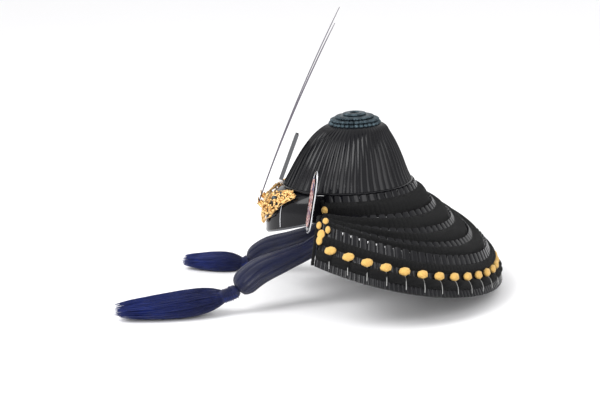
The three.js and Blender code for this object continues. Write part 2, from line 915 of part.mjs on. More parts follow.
// Chin cord: two soft ends come down from inside the rim and out under the front.
// Columns: outward from the bowl's side, back from the middle, height.
const cordRoutes = {
  left: [
    [-20.8, -14, -0.5],
    [-21.4, -17, -30],
    [-21, -32, -72],
    [-15, -62, -97],
    [-3, -104, -113],
    [16, -150, -128],
    [30, -186, -153],
  ],
  right: [
    [-20.8, -14, -0.5],
    [-21.4, -17, -30],
    [-21, -30, -78],
    [-16, -60, -112],
    [-5, -105, -131],
    [13, -152, -148],
    [27, -188, -174],
  ],
};
// Tassels lie on past the cord's ends. Points after the bound neck, to the tip.
const tasselRoutes = {
  left: [[39, -250, -171], [47, -320, -177], [51, -392, -180]],
  right: [[34, -230, -181], [45, -272, -181], [57, -314, -181]],
};
const sides = { left: 1, right: -1 };
const besideBowl = (side, [out, y, z]) => vec(sides[side] * (bowlHalfWidth + out), y, z);
const cordCurves = {};
for (const side of Object.keys(sides)) {
  const points = cordRoutes[side].map((row) => besideBowl(side, row));
  cordCurves[side] = new THREE.CatmullRomCurve3(points);
}
// Each bundle of strands loosens and grows thicker towards its tassel.
const cordGrowth = { left: 0.5, right: 0.2 };
for (const [side, curve] of Object.entries(cordCurves)) {
  const radiusAt = (share) =>
    cordRadius * (1 + cordGrowth[side] * THREE.MathUtils.smoothstep(share, 0.4, 0.85));
  addPiece(`chin_cord_${side}`, "blueSilk", tubeAlong(curve, radiusAt, 12, 8));
}

// A tassel: a bound neck that swells into a brush of thick locks with a ragged end.
// Columns: share along, radius.
const tasselShape = [
  [0, 12],
  [0.07, 9],
  [0.12, 9],
  [0.2, 14],
  [0.4, 17],
  [0.65, 18.5],
  [0.88, 19],
  [1, 14],
];
const neckRun = 12;
const tasselScale = { left: 1.32, right: 1.05 };
function makeTassel(cord, along, scale) {
  const end = cord.getPoint(1);
  const ahead = cord.getTangent(1);
  const start = [0.6, neckRun].map((run) => end.clone().addScaledVector(ahead, run));
  const curve = new THREE.CatmullRomCurve3([...start, ...along]);
  const lockCount = 14;
  const loops = tasselShape.map(([share, slim]) => {
    const radius = slim * scale;
    const middle = curve.getPointAt(share);
    const along = curve.getTangentAt(share);
    const across = vec(0, 0, 1).cross(along).normalize();
    const upward = along.clone().cross(across).normalize();
    const flat = mix(1, 0.72, share);
    const loop = [];
    for (let k = 0; k < lockCount; k += 1) {
      const angle = (k / lockCount) * turn;
      const lock = share > 0.15 && k % 2 ? 0.9 : 1;
      loop.push(
        middle
          .clone()
          .addScaledVector(across, radius * lock * mix(1, 1.45, share) * Math.cos(angle))
          .addScaledVector(upward, radius * lock * flat * Math.sin(angle))
      );
    }
    return loop;
  });
  return skinLoops(loops, false);
}
for (const [side, rows] of Object.entries(tasselRoutes)) {
  const along = rows.map((row) => besideBowl(side, row));
  addPiece(`tassel_${side}`, "blueSilk", makeTassel(cordCurves[side], along, tasselScale[side]));
}

export default helmet;
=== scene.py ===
import random
from functools import lru_cache
from math import asin, cos, pi, radians, sin, tau

import bmesh
import bpy
from mathutils import Matrix, Vector


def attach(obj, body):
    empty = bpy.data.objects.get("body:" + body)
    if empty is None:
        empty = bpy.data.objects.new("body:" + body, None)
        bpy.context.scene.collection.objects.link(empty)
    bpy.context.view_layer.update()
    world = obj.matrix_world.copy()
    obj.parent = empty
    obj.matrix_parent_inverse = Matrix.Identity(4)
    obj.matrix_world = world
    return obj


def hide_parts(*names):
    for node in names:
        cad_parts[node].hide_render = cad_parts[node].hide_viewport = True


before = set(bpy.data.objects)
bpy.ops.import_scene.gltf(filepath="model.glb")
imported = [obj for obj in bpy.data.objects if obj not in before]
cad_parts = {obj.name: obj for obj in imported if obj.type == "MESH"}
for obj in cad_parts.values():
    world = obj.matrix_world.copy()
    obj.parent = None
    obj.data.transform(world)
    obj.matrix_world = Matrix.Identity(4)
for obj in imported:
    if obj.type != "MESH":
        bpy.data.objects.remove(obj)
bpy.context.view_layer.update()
scene = bpy.context.scene
mm = 0.001
bothSides = (("left", 1), ("right", -1))

# Camera at the photo's angle: from the wearer's left, a little above, slightly rolled.
cameraValues = {
    "azimuth": 94.0,
    "elevation": 13.6,
    "roll": -2.3,
    "distance": 1800,
    "originRight": 48.6,
    "originUp": 18.8,
    "mmPerPixel": 1.72,
    "sensor": 36,
    "pixelsWide": 600,
}


def makeCamera(v):
    a, e, r = (radians(v[key]) for key in ("azimuth", "elevation", "roll"))
    back = Vector((sin(a) * cos(e), -cos(a) * cos(e), sin(e)))
    right = Vector((cos(a), sin(a), 0))
    up = back.cross(right)
    place = (back * v["distance"] - right * v["originRight"] - up * v["originUp"]) * v["mmPerPixel"] * mm
    across = right * cos(r) + up * sin(r)
    upward = up * cos(r) - right * sin(r)
    data = bpy.data.cameras.new("photoCamera")
    data.sensor_width = v["sensor"]
    data.lens = v["distance"] * v["sensor"] / v["pixelsWide"]
    data.clip_end = 60
    camera = bpy.data.objects.new("photoCamera", data)
    turned = Matrix((across, upward, back)).transposed().to_4x4()
    camera.matrix_world = Matrix.Translation(place) @ turned
    scene.collection.objects.link(camera)
    scene.camera = camera


makeCamera(cameraValues)
print("camera placed")


# Small geometry helpers. Lengths are in millimetres until a vertex is placed.
def mix(a, b, share):
    return a + (b - a) * share


def splineAt(points, t):
    # Centripetal curve through the points, evenly shared between them.
    last = len(points) - 1
    i = min(int(t * last), last - 1)
    w = t * last - i
    p1, p2 = points[i], points[i + 1]
    p0 = points[i - 1] if i else p1 * 2 - p2
    p3 = points[i + 2] if i + 2 <= last else p2 * 2 - p1
    d1 = max((p1 - p0).length, 1e-6) ** 0.5
    d2 = max((p2 - p1).length, 1e-6) ** 0.5
    d3 = max((p3 - p2).length, 1e-6) ** 0.5
    m1 = ((p1 - p0) / d1 - (p2 - p0) / (d1 + d2) + (p2 - p1) / d2) * d2
    m2 = ((p2 - p1) / d2 - (p3 - p1) / (d2 + d3) + (p3 - p2) / d3) * d2
    a = p1 * 2 - p2 * 2 + m1 + m2
    b = p2 * 3 - p1 * 3 - m1 * 2 - m2
    return a * w ** 3 + b * w ** 2 + m1 * w + p1


def evenRun(points, steps):
    # The curve through the points, cut into steps of equal length.
    fine = [splineAt(points, i / 400) for i in range(401)]
    run = [0.0]
    for a, b in zip(fine, fine[1:]):
        run.append(run[-1] + (b - a).length)
    out = []
    k = 0
    for i in range(steps + 1):
        target = run[-1] * i / steps
        while k < 399 and run[k + 1] < target:
            k += 1
        span = max(run[k + 1] - run[k], 1e-9)
        out.append(fine[k].lerp(fine[k + 1], (target - run[k]) / span))
    return out


def tableAt(rows, x):
    # Smooth reading of a table whose first column is x, with one or two more columns.
    xs = [row[0] for row in rows]
    points = [Vector((*row[1:], 0, 0)[:3]) for row in rows]
    k = 0
    while k < len(xs) - 2 and x > xs[k + 1]:
        k += 1
    w = min(max((x - xs[k]) / (xs[k + 1] - xs[k]), 0), 1)

    def slope(i):
        if i == 0:
            return (points[1] - points[0]) / (xs[1] - xs[0])
        if i == len(xs) - 1:
            return (points[-1] - points[-2]) / (xs[-1] - xs[-2])
        return (points[i + 1] - points[i - 1]) / (xs[i + 1] - xs[i - 1])

    gap = xs[k + 1] - xs[k]
    a, b = points[k], points[k + 1]
    h1 = 2 * w ** 3 - 3 * w ** 2 + 1
    h2 = w ** 3 - 2 * w ** 2 + w
    return a * h1 + slope(k) * gap * h2 + b * (1 - h1) + slope(k + 1) * gap * (w ** 3 - w ** 2)


def vectors(rows):
    return [Vector(row) for row in rows]


def sided(point, way):
    # The point itself on the wearer's left (1), or its mirror image (-1).
    return Vector((point.x * way, point.y, point.z))


def newMesh():
    bm = bmesh.new()
    bm.loops.layers.uv.new("UVMap")
    return bm


def fillHoles(bm):
    loose = [edge for edge in bm.edges if edge.is_boundary]
    bmesh.ops.holes_fill(bm, edges=loose, sides=0)


def sweep(bm, place, across, along, fillEnds=False):
    # A grid bent to shape by place(u, v). Edges that meet are joined.
    grid = bmesh.ops.create_grid(bm, x_segments=across, y_segments=along, size=1, calc_uvs=True)
    made = grid["verts"]
    for vert in made:
        vert.co = place((vert.co.x + 1) / 2, (vert.co.y + 1) / 2) * mm
    bmesh.ops.remove_doubles(bm, verts=made, dist=2e-6)
    if fillEnds:
        fillHoles(bm)


def crossings(points, firstOut):
    # A pair of directions across the run at each point, carried along without twist.
    out = []
    side = firstOut
    for i, point in enumerate(points):
        ahead = points[min(i + 1, len(points) - 1)] - points[max(i - 1, 0)]
        ahead.normalize()
        side = (side - ahead * side.dot(ahead)).normalized()
        out.append((side, ahead.cross(side)))
    return out


def sweepTube(bm, points, radiusAt, sides, firstOut=Vector((0, 0, 1)), flat=1.0, fillEnds=True):
    # radiusAt(share along, share round) gives the radius.
    pairs = crossings(points, firstOut)
    last = len(points) - 1

    def place(u, v):
        i = round(v * last)
        n, b = pairs[i]
        r = radiusAt(v, u)
        return points[i] + n * (r * cos(tau * u) * flat) + b * (r * sin(tau * u))

    sweep(bm, place, sides, last, fillEnds)


def finishPiece(bm, name, material, sharp, node=None):
    # Makes the object. It stands for a node of the part where one is named.
    bmesh.ops.recalc_face_normals(bm, faces=bm.faces[:])
    mesh = bpy.data.meshes.new(name)
    bm.to_mesh(mesh)
    bm.free()
    mesh.shade_smooth()
    mesh.set_sharp_from_angle(angle=radians(sharp))
    mesh.materials.append(material)
    piece = bpy.data.objects.new(name, mesh)
    scene.collection.objects.link(piece)
    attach(piece, "root")
    if node:
        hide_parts(node)
    return piece


def addPuff(bm, middle, axis, out, half):
    # A plump stitch: long half, wide half and thick half in millimetres.
    turned = Matrix((axis, out.cross(axis), out)).transposed().to_4x4()
    place = Matrix.Translation(middle * mm) @ turned @ Matrix.Diagonal((*half, 1))
    bmesh.ops.create_uvsphere(bm, u_segments=24, v_segments=14, radius=mm, matrix=place, calc_uvs=True)


# Shared effects.
def maths(tree, operation, *values, clamp=False):
    # Each value is a number or a socket to link.
    node = tree.nodes.new("ShaderNodeMath")
    node.operation = operation
    node.use_clamp = clamp
    for socket, value in zip(node.inputs, values):
        if isinstance(value, (int, float)):
            socket.default_value = value
        else:
            tree.links.new(value, socket)
    return node.outputs[0]


def makeGroup(name, inputs, outputs):
    tree = bpy.data.node_groups.new(name, "ShaderNodeTree")
    for label, kind, value in inputs:
        socket = tree.interface.new_socket(name=label, in_out="INPUT", socket_type=kind)
        if value is not None:
            socket.default_value = value
    for label, kind in outputs:
        tree.interface.new_socket(name=label, in_out="OUTPUT", socket_type=kind)
    return tree, tree.nodes.new("NodeGroupInput"), tree.nodes.new("NodeGroupOutput")


def makeMottle():
    # Soft two-scale noise, 0 to 1.
    tree, start, end = makeGroup(
        "mottle",
        [
            ("Vector", "NodeSocketVector", None),
            ("Scale", "NodeSocketFloat", 20.0),
            ("Contrast", "NodeSocketFloat", 1.0),
        ],
        [("Value", "NodeSocketFloat")],
    )
    noise = tree.nodes.new("ShaderNodeTexNoise")
    noise.inputs["Detail"].default_value = 6
    noise.inputs["Roughness"].default_value = 0.6
    tree.links.new(start.outputs["Vector"], noise.inputs["Vector"])
    tree.links.new(start.outputs["Scale"], noise.inputs["Scale"])
    away = maths(tree, "SUBTRACT", noise.outputs["Fac"], 0.5)
    value = maths(tree, "MULTIPLY_ADD", away, start.outputs["Contrast"], 0.5, clamp=True)
    tree.links.new(value, end.inputs["Value"])
    return tree


def makeStrands():
    # Threads lying along V and slanting a little, as height 0 to 1.
    tree, start, end = makeGroup(
        "strands",
        [
            ("Vector", "NodeSocketVector", None),
            ("Across", "NodeSocketFloat", 60.0),
            ("Along", "NodeSocketFloat", 4.0),
            ("Waver", "NodeSocketFloat", 0.3),
        ],
        [("Height", "NodeSocketFloat")],
    )
    nodes, links = tree.nodes, tree.links
    split = nodes.new("ShaderNodeSeparateXYZ")
    links.new(start.outputs["Vector"], split.inputs[0])
    noise = nodes.new("ShaderNodeTexNoise")
    noise.inputs["Scale"].default_value = 6
    links.new(start.outputs["Vector"], noise.inputs["Vector"])
    total = maths(tree, "MULTIPLY", split.outputs[0], start.outputs["Across"])
    for socket, label in ((split.outputs[1], "Along"), (noise.outputs["Fac"], "Waver")):
        term = maths(tree, "MULTIPLY", socket, start.outputs[label])
        total = maths(tree, "ADD", total, term)
    wrap = maths(tree, "PINGPONG", total, 0.5)
    links.new(maths(tree, "MULTIPLY", wrap, 2), end.inputs["Height"])
    return tree


mottle = makeMottle()
strands = makeStrands()


def startMaterial(name):
    material = bpy.data.materials.new(name)
    material.use_nodes = True
    nodes = material.node_tree.nodes
    return material, nodes, material.node_tree.links, nodes["Principled BSDF"]


def groupNode(nodes, links, tree, vector, **values):
    node = nodes.new("ShaderNodeGroup")
    node.node_tree = tree
    links.new(vector, node.inputs["Vector"])
    for label, value in values.items():
        node.inputs[label].default_value = value
    return node.outputs[0]


def twoColours(nodes, links, factor, low, high, start=0.0, end=1.0):
    ramp = nodes.new("ShaderNodeValToRGB")
    ramp.color_ramp.elements[0].color = (*low, 1)
    ramp.color_ramp.elements[1].color = (*high, 1)
    ramp.color_ramp.elements[0].position = start
    ramp.color_ramp.elements[1].position = end
    links.new(factor, ramp.inputs[0])
    return ramp.outputs[0]


def spread(nodes, links, factor, low, high):
    node = nodes.new("ShaderNodeMapRange")
    node.inputs["To Min"].default_value = low
    node.inputs["To Max"].default_value = high
    links.new(factor, node.inputs["Value"])
    return node.outputs[0]


def bumpFrom(nodes, links, height, strength, distance):
    bump = nodes.new("ShaderNodeBump")
    bump.inputs["Strength"].default_value = strength
    bump.inputs["Distance"].default_value = distance
    links.new(height, bump.inputs["Height"])
    return bump.outputs[0]


def setInputs(shader, **values):
    for label, value in values.items():
        shader.inputs[label.replace("_", " ")].default_value = value


def hardSurface(
    name, low, high, scale, contrast, fineScale, smooth, rough, bump, depth, metallic, coat, gloss
):
    # Lacquer and metals: mottled colour and roughness with a faint unevenness.
    material, nodes, links, shader = startMaterial(name)
    coords = nodes.new("ShaderNodeTexCoord").outputs["Object"]
    tone = groupNode(nodes, links, mottle, coords, Scale=scale, Contrast=contrast)
    fine = groupNode(nodes, links, mottle, coords, Scale=fineScale, Contrast=1.2)
    links.new(twoColours(nodes, links, tone, low, high), shader.inputs["Base Color"])
    links.new(spread(nodes, links, fine, smooth, rough), shader.inputs["Roughness"])
    links.new(bumpFrom(nodes, links, fine, bump, depth), shader.inputs["Normal"])
    setInputs(shader, Metallic=metallic, Specular_IOR_Level=gloss, Coat_Weight=coat, Coat_Roughness=0.06)
    return material


def silk(name, low, high, scale, across, along, waver, bump, depth, rough, sheen, gloss, tip=None):
    # Silk: threads along V, with painted shade in the colour between them and a random tone over all.
    material, nodes, links, shader = startMaterial(name)
    tree = material.node_tree
    coords = nodes.new("ShaderNodeTexCoord")
    uv = coords.outputs["UV"]
    thread = groupNode(nodes, links, strands, uv, Across=across, Along=along, Waver=waver)
    cloud = groupNode(nodes, links, mottle, coords.outputs["Object"], Scale=scale, Contrast=1.4)
    threadShadeAndTone = maths(tree, "MULTIPLY_ADD", thread, 0.55, maths(tree, "MULTIPLY", cloud, 0.45))
    colour = twoColours(nodes, links, threadShadeAndTone, low, high)
    if tip:
        split = nodes.new("ShaderNodeSeparateXYZ")
        links.new(uv, split.inputs[0])
        tint = nodes.new("ShaderNodeMix")
        tint.data_type = "RGBA"
        links.new(maths(tree, "MULTIPLY", split.outputs[1], threadShadeAndTone), tint.inputs[0])
        links.new(colour, tint.inputs[6])
        tint.inputs[7].default_value = (*tip, 1)
        colour = tint.outputs[2]
    links.new(colour, shader.inputs["Base Color"])
    links.new(bumpFrom(nodes, links, thread, bump, depth), shader.inputs["Normal"])
    setInputs(shader, Roughness=rough, Specular_IOR_Level=gloss, Sheen_Weight=sheen, Sheen_Roughness=0.4)
    return material


# Columns: darker colour, lighter colour, mottle scale and contrast, scale of the fine mottle,
# lowest and highest roughness, bump strength and depth, metallic, coat, gloss.
hardLooks = {
    "blackLacquer": [
        (0.003, 0.003, 0.004), (0.009, 0.009, 0.011), 30, 1.5, 260, 0.1, 0.2, 0.08, 0.0004, 0, 0, 0.2,
    ],
    # Black lacquer made lighter and bluer: painted reflection, for the visor's bead and the crest socket.
    "paintedReflectionLacquer": [
        (0.012, 0.014, 0.018), (0.03, 0.034, 0.042), 40, 1.4, 300, 0.08, 0.18, 0.05, 0.0003, 0, 0.5, 0.8,
    ],
    "tealBronze": [
        (0.01, 0.017, 0.024), (0.1, 0.145, 0.17), 110, 2.6, 420, 0.3, 0.5, 0.2, 0.0005, 0.8, 0, 0.5,
    ],
    "gilt": [(0.5, 0.26, 0.07), (1.0, 0.7, 0.32), 160, 2.0, 500, 0.2, 0.4, 0.15, 0.0004, 1, 0, 0.5],
    "silver": [(0.5, 0.5, 0.52), (0.85, 0.86, 0.88), 120, 1.6, 500, 0.12, 0.3, 0.08, 0.0003, 1, 0, 0.5],
    # Dark violet and barely shiny: a painted dark reflection in place of the polished plates' mirror finish.
    "hornPaintedReflection": [
        (0.018, 0.008, 0.03), (0.04, 0.022, 0.06), 24, 1.6, 300, 0.3, 0.42, 0.05, 0.0003, 0.2, 0, 0.05,
    ],
}
# Columns: darker colour, lighter colour, cloud scale, threads across, threads along, waver,
# bump strength and depth, roughness, sheen, gloss, and a colour for the tip where there is one.
silkLooks = {
    "blackSilk": [
        (0.0012, 0.0012, 0.0014), (0.009, 0.009, 0.01), 90, 900, 40, 0.5, 0.9, 0.0012, 0.75, 0.04, 0.12,
    ],
    "yellowSilk": [(0.42, 0.2, 0.03), (0.95, 0.64, 0.2), 120, 14, 26, 1.2, 0.45, 0.0008, 0.6, 0.2, 0.3],
    "blueSilk": [
        (0.001, 0.0015, 0.007), (0.007, 0.012, 0.065), 45, 90, 3, 2, 0.8, 0.0012, 0.34, 0.03, 0.4,
    ],
    "paleSilk": [(0.3, 0.3, 0.3), (0.6, 0.6, 0.58), 120, 4, 40, 0.2, 0.3, 0.0003, 0.5, 0.1, 0.4],
    "tasselSilk": [
        (0.001, 0.002, 0.014), (0.008, 0.016, 0.11), 45, 90, 3, 2, 0.8, 0.0012, 0.34, 0.03, 0.4,
        (0.012, 0.04, 0.34),
    ],
}
blackLacquer, paintedReflectionLacquer, tealBronze, gilt, silver, hornPaintedReflection = (
    hardSurface(name, *look) for name, look in hardLooks.items()
)
blackSilk, yellowSilk, blueSilk, paleSilk, tasselSilk = (
    silk(name, *look) for name, look in silkLooks.items()
)
print("materials made")

# Chin cords and tassels.
cordValues = {
    "radius": 15.2, "flutes": 11, "fluteDepth": 0.07, "steps": 76, "sides": 88,
    "core": 7, "inside": 90, "taper": 0.09,
    "growth": {"left": 0.5, "right": 0.2}, "meanDiameter": {"left": 34.5, "right": 32},
    # Each side's route, from the rim to the tassel: X, Y, Z.
    "left": [
        [82.2, -14, -0.5], [81.6, -17, -30], [82, -32, -72], [88, -62, -97],
        [100, -104, -113], [119, -150, -128], [133, -186, -153],
    ],
    "right": [
        [-82.2, -14, -0.5], [-81.6, -17, -30], [-82, -30, -78], [-87, -60, -112],
        [-98, -105, -131], [-116, -152, -148], [-130, -188, -174],
    ],
}
tasselValues = {
    "left": [[142, -250, -171], [150, -320, -177], [154, -392, -180]],
    "right": [[-137, -230, -181], [-148, -272, -181], [-160, -314, -181]],
    # Columns: share along, radius.
    "shape": [
        [0, 7.5], [0.025, 9.4], [0.06, 8.8], [0.12, 9], [0.21, 14.5],
        [0.38, 18.4], [0.6, 18], [0.8, 15.5], [0.93, 12.5], [1, 9],
    ],
    "scale": {"left": 1.32, "right": 1.05}, "wider": 1.42, "flatter": 0.72, "steps": 90, "sides": 96,
    "locks": 24, "lockDepth": 0.14, "bodyEnd": 0.86, "strands": 420, "strandRadius": 0.55,
    "bands": 7, "bandRadius": 0.75, "gap": 0.6, "neck": 12, "seed": 5,
}


def runLength(points):
    return sum((b - a).length for a, b in zip(points, points[1:]))


def tasselRun(side, steps):
    # The tassel's own line, from the cord's seen end to the tip.
    seen = evenRun(vectors(cordValues[side]), 60)
    ahead = (seen[-1] - seen[-2]).normalized()
    start = [seen[-1] + ahead * tasselValues[key] for key in ("gap", "neck")]
    return evenRun(start + vectors(tasselValues[side]), steps)


def makeCord(side, v):
    # The cord's core runs on inside the tassel, thinner than the part that is seen.
    seen = evenRun(vectors(v[side]), v["steps"])
    inner = tasselRun(side, 40)
    kept = [p for i, p in enumerate(inner) if i and runLength(inner[:i + 1]) < v["inside"]]
    points = seen + kept
    share = (len(seen) - 1) / (len(points) - 1)
    bm = newMesh()

    def radiusAt(along, around):
        flute = abs(sin(pi * v["flutes"] * around + along * 3.0))
        seenShare = min(1, max(0, (along / share - 0.4) / 0.45))
        grown = 1 + v["growth"][side] * seenShare ** 2 * (3 - 2 * seenShare)
        radius = v["core"]
        if along <= share + 1e-6:
            ending = min(1, max(0, 1 - (share - along) / (share * v["taper"])))
            radius = mix(v["radius"] * grown, v["core"], 1 - max(0, 1 - ending ** 2) ** 0.5)
        return radius * (1 - v["fluteDepth"] * (1 - flute) ** 1.4)

    sweepTube(bm, points, radiusAt, v["sides"], Vector((1, 0, 0)))
    cord = finishPiece(bm, "cord_" + side, blueSilk, 80, "chin_cord_" + side)
    return cord, points


def tasselFrame(points, i):
    ahead = (points[min(i + 1, len(points) - 1)] - points[max(i - 1, 0)]).normalized()
    side = Vector((0, 0, 1)).cross(ahead).normalized()
    return side, ahead.cross(side).normalized()


def makeTassel(side, v):
    points = tasselRun(side, v["steps"])
    last = v["steps"]
    chance = random.Random(v["seed"] + len(side))
    bm = newMesh()

    def shell(share, around, scale):
        i = round(share * last)
        across, upward = tasselFrame(points, i)
        radius = tableAt(v["shape"], share)[0] * v["scale"][side] * scale
        wide = mix(1, v["wider"], share)
        flat = mix(1, v["flatter"], share)
        angle = tau * around
        return points[i] + across * (radius * wide * cos(angle)) + upward * (radius * flat * sin(angle))

    def place(u, w):
        lock = abs(sin(pi * v["locks"] * u + 1.3 * sin(w * 7)))
        depth = v["lockDepth"] * min(1, max(0, w - 0.13) * 6)
        closing = max(0, 1 - max(0, (w - 0.85) / 0.15) ** 2) ** 0.5
        return shell(w * v["bodyEnd"], u, 0.95 * closing * (1 - depth * (1 - lock) ** 1.6))

    sweep(bm, place, v["sides"], last, True)
    for k in range(v["strands"]):
        around = chance.random()
        drift = chance.uniform(-0.035, 0.035)
        start = chance.uniform(0.13, 0.3)
        stop = chance.uniform(0.88, 1.0)
        lift = chance.uniform(0.95, 1.035)
        inward = chance.uniform(0.3, 1.05)
        wave = chance.uniform(0, tau)
        line = []
        for j in range(19):
            share = mix(start, stop, j / 18)
            sway = drift * share + 0.006 * sin(wave + share * 9)
            outer = mix(0.93, lift, min(1, j / 3))
            line.append(shell(share, around + sway, mix(outer, inward, max(0, j / 18 - 0.6) * 2.5)))
        thick = v["strandRadius"] * chance.uniform(0.7, 1.5)
        sweepTube(bm, line, lambda a, b, t=thick: t * (1.02 - a ** 6 * 0.8), 4, fillEnds=False)
    for k in range(v["bands"]):
        share = mix(0.035, 0.115, k / (v["bands"] - 1))
        i = round(share * last)
        across, upward = tasselFrame(points, i)
        radius = tableAt(v["shape"], share)[0] * v["scale"][side] + 0.2
        ahead = across.cross(upward)
        ring = [
            points[i] + ahead * ((share * last - i) * 2)
            + across * (radius * cos(tau * j / 28)) + upward * (radius * sin(tau * j / 28))
            for j in range(29)
        ]
        sweepTube(bm, ring, lambda a, b: v["bandRadius"], 6, fillEnds=False)
    tassel = finishPiece(bm, "tassel_brush_" + side, tasselSilk, 80, "tassel_" + side)
    return tassel


for side in ("left", "right"):
    cord, cordPoints = makeCord(side, cordValues)
    tassel = makeTassel(side, tasselValues)
print("cords and tassels made")

# Bowl: fluted plates that meet in narrow ribs.
bowlValues = {
    "halfWidth": 103, "halfLength": 108, "wall": 2.6, "plates": 62, "relief": 1.7,
    "perPlate": 8, "rows": 26,
    # Columns: height, share of the half width and length, shift back.
    "profile": [
        [0, 1, 0], [14, 0.935, 1], [40, 0.825, 4], [62, 0.715, 7],
        [82, 0.585, 10.5], [94, 0.475, 15], [100, 0.33, 15], [101.5, 0.12, 15],
    ],
}


def makeBowl(v):
    rows = v["rows"]
    run = evenRun([Vector((share * 100, height, back)) for height, share, back in v["profile"]], rows)

    def place(u, w):
        k = round(w * (2 * rows + 1))
        inside = k > rows
        spot = run[2 * rows + 1 - k] if inside else run[k]
        share, height, back = spot[0] / 100, spot[1], spot[2]
        angle = tau * u
        near = abs(((u * v["plates"] + 0.5) % 1) - 0.5) * 2
        rib = (1 - near) ** 1.7 * v["relief"] * min(1, share * 1.5)
        push = -v["wall"] if inside else rib
        lift = -v["wall"] * (1 - share) if inside else 0
        return Vector((
            (v["halfWidth"] * share + push) * cos(angle),
            back + (v["halfLength"] * share + push) * sin(angle),
            max(0, height + lift),
        ))

    bm = newMesh()
    sweep(bm, place, v["plates"] * v["perPlate"], 2 * rows + 1)
    # The rim's inner and outer edges join, and the hole at the top closes.
    loose = [edge for edge in bm.edges if edge.is_boundary]
    bmesh.ops.bridge_loops(bm, edges=[e for e in loose if e.verts[0].co.z + e.verts[1].co.z < 0.05])
    fillHoles(bm)
    finishPiece(bm, "bowl_plates", blackLacquer, 38, "bowl")


makeBowl(bowlValues)

# Rim band under the plates, softly rounded.
rimValues = {
    # Columns: out from the bowl's outline, up.
    "section": [[-3.4, 0], [2.2, 0], [3.3, -0.8], [3.4, -2.6], [2.6, -3.9], [-3.4, -4]],
    "top": -0.35, "steps": 160,
}


def makeRimBand(v):
    section = v["section"]

    def place(u, w):
        out, up = section[round(w * len(section)) % len(section)]
        angle = tau * u
        return Vector((
            (bowlValues["halfWidth"] + out) * cos(angle),
            (bowlValues["halfLength"] + out) * sin(angle),
            v["top"] + up,
        ))

    bm = newMesh()
    sweep(bm, place, v["steps"], len(section))
    finishPiece(bm, "rim_hoop", blackLacquer, 50, "rim_band")


makeRimBand(rimValues)

# Crown fitting: petalled and roped tiers. The centre is how far back and how high it sits.
crownValues = {
    "centre": (15, 101.5), "flat": 0.75, "steps": 256,
    # For each tier: its profile as radius and height over the bowl, lobes, their depth, twist.
    "tiers": {
        "crown_flange": [
            [[8, 2.4], [13.5, 2.1], [36, -1.6], [43.8, -5.4], [45.2, -2.6], [43.6, 1], [37, 3.2], [8, 5.6]],
            32, 3.0, 0.0,
        ],
        "crown_petal_ring": [
            [[8, 6], [40.5, 3.05], [42.5, 4.2], [42, 6.4], [38, 8.6], [33, 9], [8, 11]],
            28, 3.4, 0.0,
        ],
        "crown_rope_ring": [
            [[8, 11.4], [31.5, 9.6], [33.5, 11.2], [33.2, 12.8], [31.2, 14], [20, 15.6], [8, 16.2]],
            40, 1.7, 2.4,
        ],
        "crown_collar": [
            [[8, 16.6], [19, 16.1], [20.4, 17.6], [19.6, 19.4], [17, 20.8], [11, 21.6], [8, 20]],
            20, 0.9, 0.0,
        ],
    },
}


def makeCrown(v):
    back, top = v["centre"]
    for name, (profile, lobes, depth, twist) in v["tiers"].items():
        ring = [Vector((r, z * v["flat"], 0)) for r, z in profile]
        outer = max(r for r, z in profile)
        fine = evenRun(ring + [ring[0]], 40)

        def place(u, w, fine=fine, lobes=lobes, depth=depth, twist=twist, outer=outer):
            radius, height, spare = fine[round(w * 40) % 40]
            edge = max(0, (radius - outer * 0.62) / (outer * 0.38))
            wave = 1 - abs(sin(pi * lobes * u + twist * height * 0.25))
            radius -= depth * edge * wave ** 1.5
            height -= depth * 0.5 * edge * wave ** 1.5 * (1 if w > 0.5 else 0)
            angle = tau * u
            squeeze = bowlValues["halfWidth"] / bowlValues["halfLength"]
            return Vector((radius * cos(angle) * squeeze, back + radius * sin(angle), top + height))

        bm = newMesh()
        sweep(bm, place, v["steps"], 40)
        finishPiece(bm, name + "_cast", tealBronze, 50, name)


makeCrown(crownValues)
print("bowl and crown made")

# Visor.
visorValues = {
    "swell": 18, "wall": 2.4, "bead": 2.2, "rimDepth": 4, "across": 96, "down": 26,
    # Where the painted highlight line starts and ends across the face, and its radius.
    "line": (0.57, 0.5), "highlightRadius": 0.75,
    # Columns: degrees round from the front, X, Y, height of the lower edge.
    "edge": [
        [0, 0, -144, -81], [14, 35, -137, -76.5], [28, 66, -114, -67],
        [42, 87, -86, -57.5], [56, 97, -62, -51],
    ],
}
visorEdge = vectors(
    [[-row[1], row[2], row[3]] for row in reversed(visorValues["edge"][1:])]
    + [row[1:] for row in visorValues["edge"]]
)


@lru_cache(None)
def visorAt(across, down):
    v = visorValues
    angle = radians(across * v["edge"][-1][0])
    out = Vector((sin(angle), -cos(angle), 0))
    root = Vector((
        (bowlValues["halfWidth"] - 4) * out.x,
        (bowlValues["halfLength"] - 4) * out.y,
        -v["rimDepth"] - 1,
    ))
    point = root.lerp(splineAt(visorEdge, (across + 1) / 2), down)
    swell = v["swell"] * sin(pi * down) * mix(1, 0.3, across * across)
    return point + (out + Vector((0, 0, 1))) * (swell * 0.7)


@lru_cache(None)
def visorOut(across, down):
    along = visorAt(min(across + 0.01, 1), down) - visorAt(max(across - 0.01, -1), down)
    lower = visorAt(across, down + 0.01) - visorAt(across, down - 0.01)
    normal = lower.cross(along).normalized()
    if normal.y > 0 or (abs(normal.y) < 0.2 and normal.z < 0):
        normal.negate()
    return normal


def visorPoint(across, down, lift=0):
    point = visorAt(across, down)
    if lift:
        point = point + visorOut(across, down) * lift
    return point


def wallAt(w, rows):
    # Walks out along the face and back along its other side: (share down, other side or not).
    k = round(w * (2 * rows + 2))
    if k <= rows:
        return k / rows, 0
    if k <= 2 * rows + 1:
        return (2 * rows + 1 - k) / rows, 1
    return 0, 0


